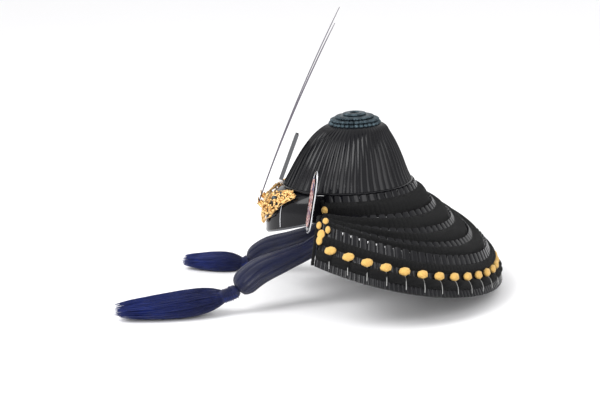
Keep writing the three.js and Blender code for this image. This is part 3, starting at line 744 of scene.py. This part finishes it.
def makeVisor(v):
    def place(u, w):
        down, inside = wallAt(w, v["down"])
        return visorPoint(mix(-1, 1, u), down, -v["wall"] * inside)

    bm = newMesh()
    sweep(bm, place, v["across"], 2 * v["down"] + 2, True)
    finishPiece(bm, "visor_plate", blackLacquer, 50, "visor")
    rim = []
    for i in range(121):
        across = mix(-1, 1, i / 120)
        edge = visorPoint(across, 1, -v["wall"] / 2)
        outward = (edge - visorPoint(across, 0.9, -v["wall"] / 2)).normalized()
        rim.append(edge + outward * (v["bead"] + 0.1))
    bm = newMesh()
    sweepTube(bm, rim, lambda a, b: v["bead"] * (1 - abs(2 * a - 1) ** 40 * 0.6), 16)
    # The bead's lighter bluish lacquer is painted reflection.
    finishPiece(bm, "visor_bead", paintedReflectionLacquer, 60, "visor_rim")
    # A thin silver line down each side of the visor's face: a painted highlight standing for the lacquer's
    # reflection.
    high, low = v["line"]
    for side, way in bothSides:
        line = [visorPoint(way * mix(high, low, i / 40), mix(0.04, 0.98, i / 40), 0.5) for i in range(41)]
        bm = newMesh()
        sweepTube(bm, line, lambda a, b: v["highlightRadius"], 8)
        finishPiece(bm, "visor_highlight_line_" + side, silver, 60)


makeVisor(visorValues)
print("visor made")

# Gilt openwork on the visor: an edge band with scrolling vines and leaves inside it.
baseValues = {
    "lift": 4, "reach": 0.76, "lobe": 0.035, "bandRadius": 1.0, "vineRadius": 1.3,
    "leafWide": 2.5, "leaves": 9, "sprigWide": 2.1,
    # Columns: share across, share down of the upper edge, of the lower edge.
    "shape": [
        [0, 0.44, 0.9], [0.25, 0.36, 0.88], [0.5, 0.2, 0.77],
        [0.72, 0.1, 0.55], [0.88, 0.16, 0.42], [1, 0.22, 0.31],
    ],
    "seed": 11, "sprigs": 4,
    "fill": [[a / 10 + 0.05, d] for a in range(9) for d in (0.16, 0.5, 0.84)],
    # Columns: place along the base, place down it, size, turns, start angle, way round.
    "scrolls": [
        [0.07, 0.3, 8.2, 1.5, 200, 1], [0.08, 0.74, 7.6, 1.4, 20, -1],
        [0.24, 0.5, 8.6, 1.6, 150, -1], [0.22, 0.87, 5.2, 1.2, 300, 1],
        [0.37, 0.22, 7.2, 1.4, 60, 1], [0.4, 0.72, 8.0, 1.5, 250, 1],
        [0.55, 0.42, 8.4, 1.6, 120, -1], [0.53, 0.85, 4.8, 1.2, 330, -1],
        [0.69, 0.24, 6.4, 1.3, 30, 1], [0.71, 0.68, 6.2, 1.4, 210, -1],
        [0.84, 0.45, 5.6, 1.4, 100, 1], [0.95, 0.5, 3.2, 1.1, 280, -1],
    ],
}


def baseOutline(across):
    v = baseValues
    side = min(abs(across), 1)
    rows = v["shape"]
    k = next((i for i, row in enumerate(rows) if i and row[0] >= side), len(rows) - 1)
    share = (side - rows[k - 1][0]) / (rows[k][0] - rows[k - 1][0])
    lobe = v["lobe"] * abs(cos(side * pi * 4)) * (1 - side)
    return mix(rows[k - 1][1], rows[k][1], share) - lobe, mix(rows[k - 1][2], rows[k][2], share) + lobe


def baseAt(across, down, lift):
    top, foot = baseOutline(across)
    a = across * baseValues["reach"]
    d = mix(top, foot, down)
    return visorPoint(a, d) + visorOut(a, d) * lift, visorOut(a, d)


def makeBase(v):
    bm = newMesh()
    lift = v["lift"] + 1.1

    def strip(line, radius, flat=0.75):
        points = [p for p, n in line]
        last = len(points) - 1
        sides = [n for p, n in line]

        def place(u, w):
            i = round(w * last)
            ahead = (points[min(i + 1, last)] - points[max(i - 1, 0)]).normalized()
            out = (sides[i] - ahead * sides[i].dot(ahead)).normalized()
            r = radius(w)
            return points[i] + out * (r * flat * cos(tau * u)) + ahead.cross(out) * (r * sin(tau * u))

        sweep(bm, place, 8, last)

    def bandRadius(w):
        return v["bandRadius"] * (1 - abs(2 * w - 1) ** 12 * 0.97)

    def leaf(root, out, side, other, lean, turned, reach, rise, steps, wide):
        line = []
        for i in range(steps + 1):
            share = i / steps
            bend = lean + turned * share
            point = root + (side * cos(bend) + other * sin(bend)) * (reach * share)
            line.append((point + out * (rise * sin(pi * share)), out))
        strip(line, lambda w: wide * max(0.03, sin(pi * min(1, w * 0.96 + 0.02)) ** 0.7), 0.5)

    for row in (0.03, 0.97):
        strip([baseAt(mix(-0.98, 0.98, i / 150), row, lift) for i in range(151)], bandRadius)
    for end in (-0.98, 0.98):
        strip([baseAt(end, mix(0.03, 0.97, i / 12), lift) for i in range(13)], bandRadius)
    for across, down, size, turns, start, way in v["scrolls"]:
        for half in (1, -1):
            middle, out = baseAt(across * half, down, lift + 0.2)
            aside = (baseAt((across + 0.02) * half, down, lift)[0] - middle).normalized()
            lower = out.cross(aside).normalized()
            lower = lower if lower.z < 0 else -lower
            line = []
            steps = int(22 * turns)
            for i in range(steps + 1):
                share = i / steps
                angle = radians(start) + way * tau * turns * share
                radius = size * (1 - 0.8 * share)
                point = middle + aside * (radius * cos(angle)) + lower * (radius * sin(angle))
                line.append((point, out))
            strip(line, lambda w: v["vineRadius"] * (0.25 + 1.0 * w) * (1 - max(0, w - 0.93) * 8))
            for k in range(v["leaves"]):
                share = k / v["leaves"] * 0.7
                angle = radians(start) + way * tau * turns * share
                radius = size * (1 - 0.8 * share)
                reach = size * (0.62 - 0.3 * share)
                root = middle + aside * (radius * cos(angle)) + lower * (radius * sin(angle))
                rise = 1.3 * (1 + k % 3 * 0.4)
                leaf(root, out, aside, lower, angle + way * 0.9, way, reach, rise, 8, v["leafWide"])
    chance = random.Random(v["seed"])
    for half in (1, -1):
        for across, down in v["fill"]:
            for k in range(v["sprigs"]):
                a = (across + chance.uniform(-0.05, 0.05)) * half
                d = min(0.93, max(0.07, down + chance.uniform(-0.16, 0.16)))
                root, out = baseAt(a, d, lift + 0.3)
                side = out.orthogonal().normalized()
                other = out.cross(side)
                lean = chance.uniform(0, tau)
                reach = chance.uniform(4.2, 7.0)
                leaf(root, out, side, other, lean, 1.2, reach, 1.6, 7, v["sprigWide"])
    finishPiece(bm, "gilt_scrolls", gilt, 70, "gilt_base")


makeBase(baseValues)
print("gilt openwork made")

# Rivets: domes on petalled washers.
rivetValues = {
    # Columns: name, across, down.
    "rows": [
        ["visor_rivet_front", 0, 0.62], ["visor_rivet_left", 0.5, 0.42], ["visor_rivet_right", -0.5, 0.42],
    ],
    # Profile columns: radius, height.
    "lift": 6.55, "profile": [[4.9, 0], [5.0, 0.9], [4.2, 1.4], [3.7, 1.6], [3.4, 2.6], [2.2, 3.7], [0, 4.3]],
}


def makeRivets(v):
    for name, across, down in v["rows"]:
        foot = visorPoint(across * baseValues["reach"], down, v["lift"])
        out = visorOut(across * baseValues["reach"], down)
        side = out.orthogonal().normalized()
        other = out.cross(side)
        fine = evenRun([Vector((r, h, 0)) for r, h in v["profile"]], 16)

        def place(u, w):
            radius, height, spare = fine[round(w * 16)]
            if height < 1.5:
                radius *= 1 - 0.1 * (1 - abs(sin(pi * 8 * u)))
            return foot + side * (radius * cos(tau * u)) + other * (radius * sin(tau * u)) + out * height

        bm = newMesh()
        sweep(bm, place, 64, 16, True)
        finishPiece(bm, name + "_dome", tealBronze, 60, name)


makeRivets(rivetValues)

# Crest horns: thin polished plates with soft edges.
hornValues = {
    "foot": -27, "tip": 284, "wall": 2.3, "sweep": 1.4, "steps": 80, "around": 20,
    # From the side their line passes this Y and height, and leans and curves back above it.
    "startY": -147, "startHeight": -15, "lean": 0.39, "curve": 0.000242,
    # Columns: share up, inner X, outer X.
    "edges": [
        [0, 22, 34], [0.07, 22, 36], [0.2, 30, 50], [0.38, 45, 71],
        [0.56, 57, 88], [0.74, 65, 101], [0.88, 70, 107], [1, 92, 106],
    ],
}


def makeHorns(v):
    for side, way in bothSides:
        def place(u, w):
            inner, outer, spare = tableAt(v["edges"], w)
            height = mix(v["foot"], v["tip"], w)
            rise = height - v["startHeight"]
            y = v["startY"] + v["lean"] * rise + v["curve"] * rise * rise
            middle, half = (inner + outer) / 2, (outer - inner) / 2
            thick = v["wall"] / 2 * (1 - 0.5 * w ** 8)
            y += v["sweep"] / 2 * sin(pi * w) * cos(tau * u)
            return Vector((
                way * (middle + half * cos(tau * u)),
                y + thick * sin(tau * u) * (1 - 0.3 * abs(cos(tau * u))),
                height,
            ))

        bm = newMesh()
        sweep(bm, place, v["around"], v["steps"], True)
        # The horns' dark violet colour is a painted reflection.
        finishPiece(bm, "horn_plate_" + side, hornPaintedReflection, 60, "horn_" + side)


makeHorns(hornValues)

# Gilt tongues that stand out from the base and clasp the horns' feet.
tongueValues = {"across": 0.27, "down": 0.56, "wide": 6.2, "thick": 1.5, "steps": 30}


def makeTongues(v):
    horn = hornValues
    foot = horn["foot"]
    inner, outer = horn["edges"][0][1:]
    seatY = horn["startY"] + horn["lean"] * (foot - horn["startHeight"])
    seat = Vector(((inner + outer) / 2, seatY, foot - 1.6))
    start = visorPoint(v["across"], v["down"], baseValues["lift"] + 2.6)
    out = visorOut(v["across"], v["down"])
    bend = [
        start - out * 1.2, start + out * 5, seat.lerp(start, 0.35) + Vector((0, 0, -6)),
        seat + Vector((0, 1.5, -2)), seat,
    ]
    for side, way in bothSides:
        run = evenRun([sided(p, way) for p in bend], v["steps"])
        bm = newMesh()

        def radiusAt(along, around):
            waist = 1 - 0.35 * sin(pi * along)
            return v["thick"] + (v["wide"] * waist - v["thick"]) * abs(cos(tau * around)) ** 1.5

        sweepTube(bm, run, radiusAt, 24, Vector((1, 0, 0)))
        for lean in (-38, 38):
            axis = Vector((sin(radians(lean)), 0, cos(radians(lean))))
            clasp = Vector((seat.x * way, seat.y - 1.6, seat.z + 3.4))
            addPuff(bm, clasp, axis, Vector((0, -1, 0)), (5.4, 2.4, 1.1))
        finishPiece(bm, "horn_tongue_" + side, gilt, 60, "horn_socket_" + side)


makeTongues(tongueValues)
print("horns made")

# Neck guard rows: half width, half length, shift back, height at the back, rise forward, front Y.
guardRows = {
    "top1": [108.15, 112.3, 0, -3.5, 0, -36],
    "top2": [128, 128, 14, -39, 6, -35],
    "top3": [162, 149, 25, -66, 25, -40],
    "top4": [186, 168, 36, -94, 46, -41],
    "top5": [208, 188, 46, -117, 61, -40],
    "foot5": [250, 209, 52.5, -179, 58, -50],
    "knots": [235, 202, 50, -143, 57, -45],
}
# A lame's foot tucks in behind the next lame's top, this far inside it and below it.
footInside, footBelow = 9, 3
for n in range(1, 5):
    width, length, back, height, rise, front = guardRows[f"top{n + 1}"]
    guardRows[f"foot{n}"] = [width - footInside, length - footInside, back, height - footBelow, rise, front]


@lru_cache(None)
def guardPoint(row, share):
    width, length, back, height, rise, front = guardRows[row]
    start = asin((front - back) / length)
    angle = mix(start, pi - start, share)
    return Vector((width * cos(angle), back + length * sin(angle), height + rise * (1 - sin(angle))))


def guardLength(row):
    return sum((guardPoint(row, (i + 1) / 60) - guardPoint(row, i / 60)).length for i in range(60))


@lru_cache(None)
def lameFrame(n, share):
    # Upper point, downward direction, outward direction and depth at one share.
    top = guardPoint(f"top{n}", share)
    down = guardPoint(f"foot{n}", share) - top
    depth = down.length
    down.normalize()
    along = guardPoint(f"top{n}", share + 0.002) - guardPoint(f"top{n}", share - 0.002)
    out = along.cross(down).normalized()
    if out.z < 0:
        out.negate()
    return top, down, out, depth


def onLame(spot, down, out):
    return spot[0] + spot[1] * down + spot[2] * out


knotValues = {
    "count": 27, "first": 0.031, "down": 0.53, "out": 3.4, "thread": 0.5,
    # Columns: lean in degrees, half length, half width, half thickness, raised.
    "stitches": [
        [14, 10, 7, 4.8, 0], [28, 9.4, 4.4, 4.2, 1.3], [-24, 9.0, 4.2, 4.2, 1.0], [90, 7.2, 4.6, 4.0, 0.8],
    ],
}

lameValues = {
    "pitch": 14.6, "headHeight": 6.5, "wall": 2.2, "dome": 2.2, "perHead": 12, "rows": 14, "lowRibs": 0.9,
}


def headCount(n):
    return round(guardLength(f"top{n}") / lameValues["pitch"])


def makeLame(n, v):
    heads = headCount(n)

    def place(u, w):
        down, inside = wallAt(w, v["rows"])
        spot = lameFrame(n, u)
        side = abs(((u * heads) % 1) * 2 - 1)
        arch = v["headHeight"] * (1 - (1 - min(side, 1) ** 3) ** (1 / 3))
        drop = mix(arch, spot[3], down ** 1.5)
        dome = v["dome"] * (1 - side ** 4) * (1 - 0.5 * down)
        if n == 5 and down > 0.6:
            dome = v["lowRibs"] * (abs(sin(2 * pi * u * heads)) ** 0.6 - 0.4)
        return onLame(spot, drop, -v["wall"] if inside else dome)

    bm = newMesh()
    sweep(bm, place, heads * v["perHead"], 2 * v["rows"] + 2, True)
    finishPiece(bm, f"scale_row_{n}", blackLacquer, 40, f"neck_lame_{n}")


lacingValues = {
    "band": 10.5, "lift": 1.1, "thick": 12.5, "gap": 0.9, "perCord": 7, "rows": 14, "blockPerCord": 24,
    # At most this share of each lame's depth, and less thick towards the back.
    "most": [0.38, 0.36, 0.5, 0.4], "back": 0.3,
    # Columns: share down where it starts and ends, thickness, groove depth.
    "low": {"lacing_5": [0.23, 0.46, 7.0, 0.9], "lacing_6": [0.6, 0.83, 8.2, 7.6]},
}


def laceOver(name, cords, groove, phase, perCord, sectionAt, v):
    rows = v["rows"]

    def place(u, w):
        k = round(w * (rows + 2))
        share = mix(0.004, 0.996, u)
        section, out, inner = sectionAt(share)
        side = abs(((u * cords + phase) % 1) * 2 - 1)
        plump = max(0, 1 - side ** (2.2 if groove > 2 else 3.2)) ** 0.5
        if k <= rows:
            t = k / rows
            return splineAt(section, t) - out * ((1 - plump) * groove * min(1, 4 * t * (1 - t) + 0.12))
        return inner[k - rows - 1]

    bm = newMesh()
    sweep(bm, place, round(cords * perCord), rows + 2)
    fillHoles(bm)
    finishPiece(bm, name + "_cords", blackSilk, 60, name)


def makeLacings(v):
    for n in range(1, 5):
        def sectionAt(share, n=n):
            here, below = lameFrame(n, share), lameFrame(n + 1, share)
            start = min(v["band"], here[3] * 0.45)
            thick = min(v["thick"] * (1 - v["back"] * sin(pi * share) ** 4), here[3] * v["most"][n - 1])
            landing = onLame(below, 1, -lameValues["wall"] - v["gap"])
            line = [
                onLame(here, start, v["lift"]),
                onLame(here, mix(start, here[3], 0.35), thick),
                onLame(here, mix(start, here[3], 0.8), thick),
                landing,
            ]
            return line, here[2], [onLame(here, here[3], v["lift"]), line[0]]

        laceOver(f"lacing_{n}", headCount(n) * 2, 0.8, 0, v["perCord"], sectionAt, v)
    for name, (start, end, thick, groove) in v["low"].items():
        def sectionAt(share, start=start, end=end, thick=thick):
            spot = lameFrame(5, share)
            a, b = spot[3] * start, spot[3] * end
            line = [
                onLame(spot, a, v["lift"]),
                onLame(spot, mix(a, b, 0.22), thick * 0.9),
                onLame(spot, mix(a, b, 0.75), thick),
                onLame(spot, b, v["lift"]),
            ]
            return line, spot[2], [onLame(spot, mix(a, b, 0.5), v["lift"]), line[0]]

        blocks = name == "lacing_6"
        between = (knotValues["count"] - 1) / (1 - 2 * knotValues["first"])
        cords = between if blocks else headCount(5) * 2
        phase = 1 - (knotValues["first"] * between) % 1 if blocks else 0
        perCord = v["blockPerCord"] if blocks else v["perCord"]
        laceOver(name, cords, groove, phase, perCord, sectionAt, v)


for n in range(1, 6):
    makeLame(n, lameValues)
makeLacings(lacingValues)
print("scales and lacing made")

# Cross-knots: plump silk stitches over each other, with a pale thread falling from each.
def makeKnots(v):
    bm = newMesh()
    threads = newMesh()
    for i in range(v["count"]):
        share = mix(v["first"], 1 - v["first"], i / (v["count"] - 1))
        top, down, out, depth = lameFrame(5, share)
        along = down.cross(out)
        middle = top + down * (depth * v["down"]) + out * v["out"]
        for lean, long, wide, thick, raised in v["stitches"]:
            axis = along * cos(radians(lean)) + down * sin(radians(lean))
            addPuff(bm, middle + out * raised, axis, out, (long, wide, thick))
        line = [
            onLame((top, down, out), depth * mix(0.58, 0.93, j / 8), 1.6 + 3.4 * sin(pi * j / 8))
            for j in range(9)
        ]
        sweepTube(threads, line, lambda a, b: v["thread"], 5, out)
    finishPiece(bm, "knot_row", yellowSilk, 70, "cross_knots")
    finishPiece(threads, "knot_threads", paleSilk, 70)


makeKnots(knotValues)

# Front ends of the lames: a black edging cord with plump yellow stitches.
braidValues = {
    "radius": 2.8, "turns": 26, "steps": 200, "sides": 14,
    # Columns: lame, share along, share down, half length, half width, outward.
    "stitches": [
        [1, 0.008, 0.78, 7, 5.8, 13], [5, 0.016, -0.07, 5.2, 5.0, 7.5],
        [5, 0.002, 0.08, 6.2, 4.2, 5.6], [5, 0.022, 0.1, 6.2, 4.2, 5.6],
        [5, 0.009, 0.26, 8.4, 6.4, 5.6], [5, 0.007, 0.4, 7.8, 5.4, 5.6],
    ],
}


def makeBraids(v):
    rows = ["top1", "foot1", "foot2", "foot3", "top5", "knots", "foot5"]
    for side, way in bothSides:
        points = []
        for row in rows:
            end = guardPoint(row, 0)
            along = (end - guardPoint(row, 0.01)).normalized()
            points.append(end + along * (v["radius"] + 0.9))
        points[0] = points[0].lerp(points[1], 0.25)
        run = evenRun([sided(p, way) for p in points], v["steps"])
        bm = newMesh()

        def radiusAt(along, around):
            return v["radius"] * (0.85 + 0.2 * abs(sin(pi * (v["turns"] * along + around * way))) ** 0.6)

        sweepTube(bm, run, radiusAt, v["sides"])
        finishPiece(bm, "front_cord_" + side, blackSilk, 60)
        bm = newMesh()
        for n, share, depth, long, wide, outward in v["stitches"]:
            spot = lameFrame(n, share if way > 0 else 1 - share)
            middle = onLame(spot, spot[3] * depth, outward)
            addPuff(bm, middle, spot[1], spot[2], (long, wide, 4.2))
        finishPiece(bm, "front_stitches_" + side, yellowSilk, 60, "edge_braid_" + side)


makeBraids(braidValues)
print("knots and braids made")

# Turned-back flaps: leather face and bright bead on the plate.
flapValues = {
    "wall": 2.4, "bead": 1.8, "seenBead": 1.25, "clearance": 0.35, "leather": 1.2,
    "leatherShare": 0.88, "middle": (0.5, -12),
    # The inner edge's X and Y at rim height, the way across in X and Y, and the lean back.
    "root": (108, -57), "across": (38, 7), "lean": 0.18,
    # Columns: share outward, height.
    "outline": [
        [0, -34], [0, -6], [0, 8], [0.1, 24], [0.34, 36], [0.66, 41], [0.9, 34],
        [1, 20], [1, -34], [0.93, -46], [0.7, -54], [0.3, -57], [0, -50],
    ],
}
flapWide, flapTurn = flapValues["across"]
flapFacing = Vector((flapTurn, -flapWide, flapValues["lean"] * flapWide)).normalized()


def flapPoint(out, height):
    x, y = flapValues["root"]
    y += flapValues["lean"] * height
    return Vector((x, y, height)) + Vector((flapWide, flapTurn, 0)) * out


def makeLeather():
    # Pale leather stencilled with small red-brown and indigo figures.
    material, nodes, links, shader = startMaterial("stencilledLeather")
    coords = nodes.new("ShaderNodeTexCoord").outputs["Object"]
    cells = nodes.new("ShaderNodeTexVoronoi")
    cells.inputs["Scale"].default_value = 130
    cells.feature = "DISTANCE_TO_EDGE"
    links.new(coords, cells.inputs["Vector"])
    soft = groupNode(nodes, links, mottle, coords, Scale=90, Contrast=2.5)
    red, cream = (0.2, 0.045, 0.04), (0.62, 0.44, 0.4)
    pale = twoColours(nodes, links, cells.outputs["Distance"], red, cream, 0.06, 0.16)
    mixer = nodes.new("ShaderNodeMix")
    mixer.data_type = "RGBA"
    links.new(twoColours(nodes, links, soft, (0, 0, 0), (1, 1, 1), 0.62, 0.7), mixer.inputs[0])
    links.new(pale, mixer.inputs[6])
    mixer.inputs[7].default_value = (0.03, 0.035, 0.1, 1)
    links.new(mixer.outputs[2], shader.inputs["Base Color"])
    grain = groupNode(nodes, links, mottle, coords, Scale=900, Contrast=1.5)
    links.new(bumpFrom(nodes, links, grain, 0.3, 0.0004), shader.inputs["Normal"])
    shader.inputs["Roughness"].default_value = 0.62
    return material


stencilledLeather = makeLeather()


def makeFlaps(v):
    outline = vectors([[out, height, 0] for out, height in v["outline"]])
    closed = outline + [outline[0]]
    run = [splineAt(closed, i / 96) for i in range(96)]
    for side, way in bothSides:
        low = v["wall"] / 2 + v["clearance"]

        def place(u, w):
            reach, upper = wallAt(w, 5)
            spot = run[round(u * 96) % 96]
            share = v["leatherShare"] * reach
            out = mix(v["middle"][0], spot[0], share)
            height = mix(v["middle"][1], spot[1], share)
            point = flapPoint(out, height) + flapFacing * (low if upper else low + v["leather"])
            return sided(point, way)

        bm = newMesh()
        sweep(bm, place, 96, 11)
        finishPiece(bm, "flap_face_" + side, stencilledLeather, 50, "flap_leather_" + side)
        middle = flapPoint(*v["middle"])
        points = []
        for out, height in [*v["outline"][1:], v["outline"][0]]:
            edge = flapPoint(out, height)
            away = edge - middle
            away = (away - flapFacing * away.dot(flapFacing)).normalized()
            spot = edge + away * (v["bead"] + v["wall"] * 0.5 + v["clearance"])
            points.append(sided(spot, way))
        bm = newMesh()
        sweepTube(bm, evenRun(points, 140), lambda a, b: v["seenBead"], 14)
        finishPiece(bm, "flap_bead_" + side, silver, 60, "flap_rim_" + side)


makeFlaps(flapValues)

# The first lame's turned front end, which carries the flap.
rootValues = {
    # Columns: X at the upper edge, X at the lower edge, Y.
    "run": [[104, 106, -28], [99, 101, -34], [96.6, 98.6, -44], [95.4, 97.4, -58.5]],
    "top": -5.2, "foot": -51, "wall": 2, "lean": 0.18, "shift": 8.5, "steps": 24, "rows": 6,
}


def makeFlapRoots(v):
    upper = vectors([[high, y, 0] for high, low, y in v["run"]])
    lower = vectors([[low, y, 0] for high, low, y in v["run"]])
    for side, way in bothSides:
        def place(u, w):
            down, inside = wallAt(w, v["rows"])
            height = mix(v["top"], v["foot"], down)
            spot = splineAt(upper, u).lerp(splineAt(lower, u), down)
            out = -v["wall"] / 2 if inside else v["wall"] / 2
            return Vector(((spot.x + out) * way, spot.y + v["lean"] * (height + v["shift"]), height))

        bm = newMesh()
        sweep(bm, place, v["steps"], 2 * v["rows"] + 2, True)
        finishPiece(bm, "flap_neck_" + side, blackLacquer, 50, "flap_root_" + side)


makeFlapRoots(rootValues)

# Plates that keep their own shape get softened edges and a finish.
keptValues = {
    # Columns: finish, width of the softened edge.
    "flap_left": [blackLacquer, 0.5], "flap_right": [blackLacquer, 0.5],
    # The crest socket takes the lacquer with painted reflection.
    "crest_socket": [paintedReflectionLacquer, 0.4], "crest_bracket": [silver, 0.6],
}
for name, (material, width) in keptValues.items():
    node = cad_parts[name]
    for slot in node.material_slots:
        slot.link = "OBJECT"
        slot.material = material
    soft = node.modifiers.new("soft edges", "BEVEL")
    soft.width = width * mm
    soft.segments = 3
    soft.limit_method = "ANGLE"
    soft.angle_limit = radians(30)
print("flaps and kept plates made")

# Pale floor, soft studio light. The floor's height is in metres.
studioValues = {"floor": -0.1965, "floorColour": (0.93, 0.927, 0.938), "world": 1.0}


def makeStudio(v):
    material, nodes, links, shader = startMaterial("paleFloor")
    coords = nodes.new("ShaderNodeTexCoord").outputs["Object"]
    tone = groupNode(nodes, links, mottle, coords, Scale=3, Contrast=0.4)
    low = tuple(c * 0.97 for c in v["floorColour"])
    links.new(twoColours(nodes, links, tone, low, v["floorColour"]), shader.inputs["Base Color"])
    shader.inputs["Roughness"].default_value = 0.8
    bm = newMesh()
    bmesh.ops.create_grid(bm, x_segments=8, y_segments=8, size=9, calc_uvs=True)
    bmesh.ops.translate(bm, verts=bm.verts[:], vec=(0, 0, v["floor"]))
    mesh = bpy.data.meshes.new("floor")
    bm.to_mesh(mesh)
    bm.free()
    mesh.materials.append(material)
    floor = bpy.data.objects.new("floor", mesh)
    scene.collection.objects.link(floor)
    world = bpy.data.worlds.new("studio")
    world.use_nodes = True
    world.node_tree.nodes["Background"].inputs["Color"].default_value = (1, 1, 1, 1)
    world.node_tree.nodes["Background"].inputs["Strength"].default_value = v["world"]
    scene.world = world
    # Columns: name, place, size, power.
    for name, place, size, power in (
        ("keyLight", (1.2, -1.6, 2.2), 1.6, 60),
        ("fillLight", (2.4, 1.2, 1.4), 1.8, 30),
    ):
        data = bpy.data.lights.new(name, "AREA")
        data.size = size
        data.energy = power
        light = bpy.data.objects.new(name, data)
        light.location = place
        light.rotation_euler = (-Vector(place)).to_track_quat("-Z", "Y").to_euler()
        scene.collection.objects.link(light)
    scene.view_settings.view_transform = "Standard"


makeStudio(studioValues)
print("studio made")
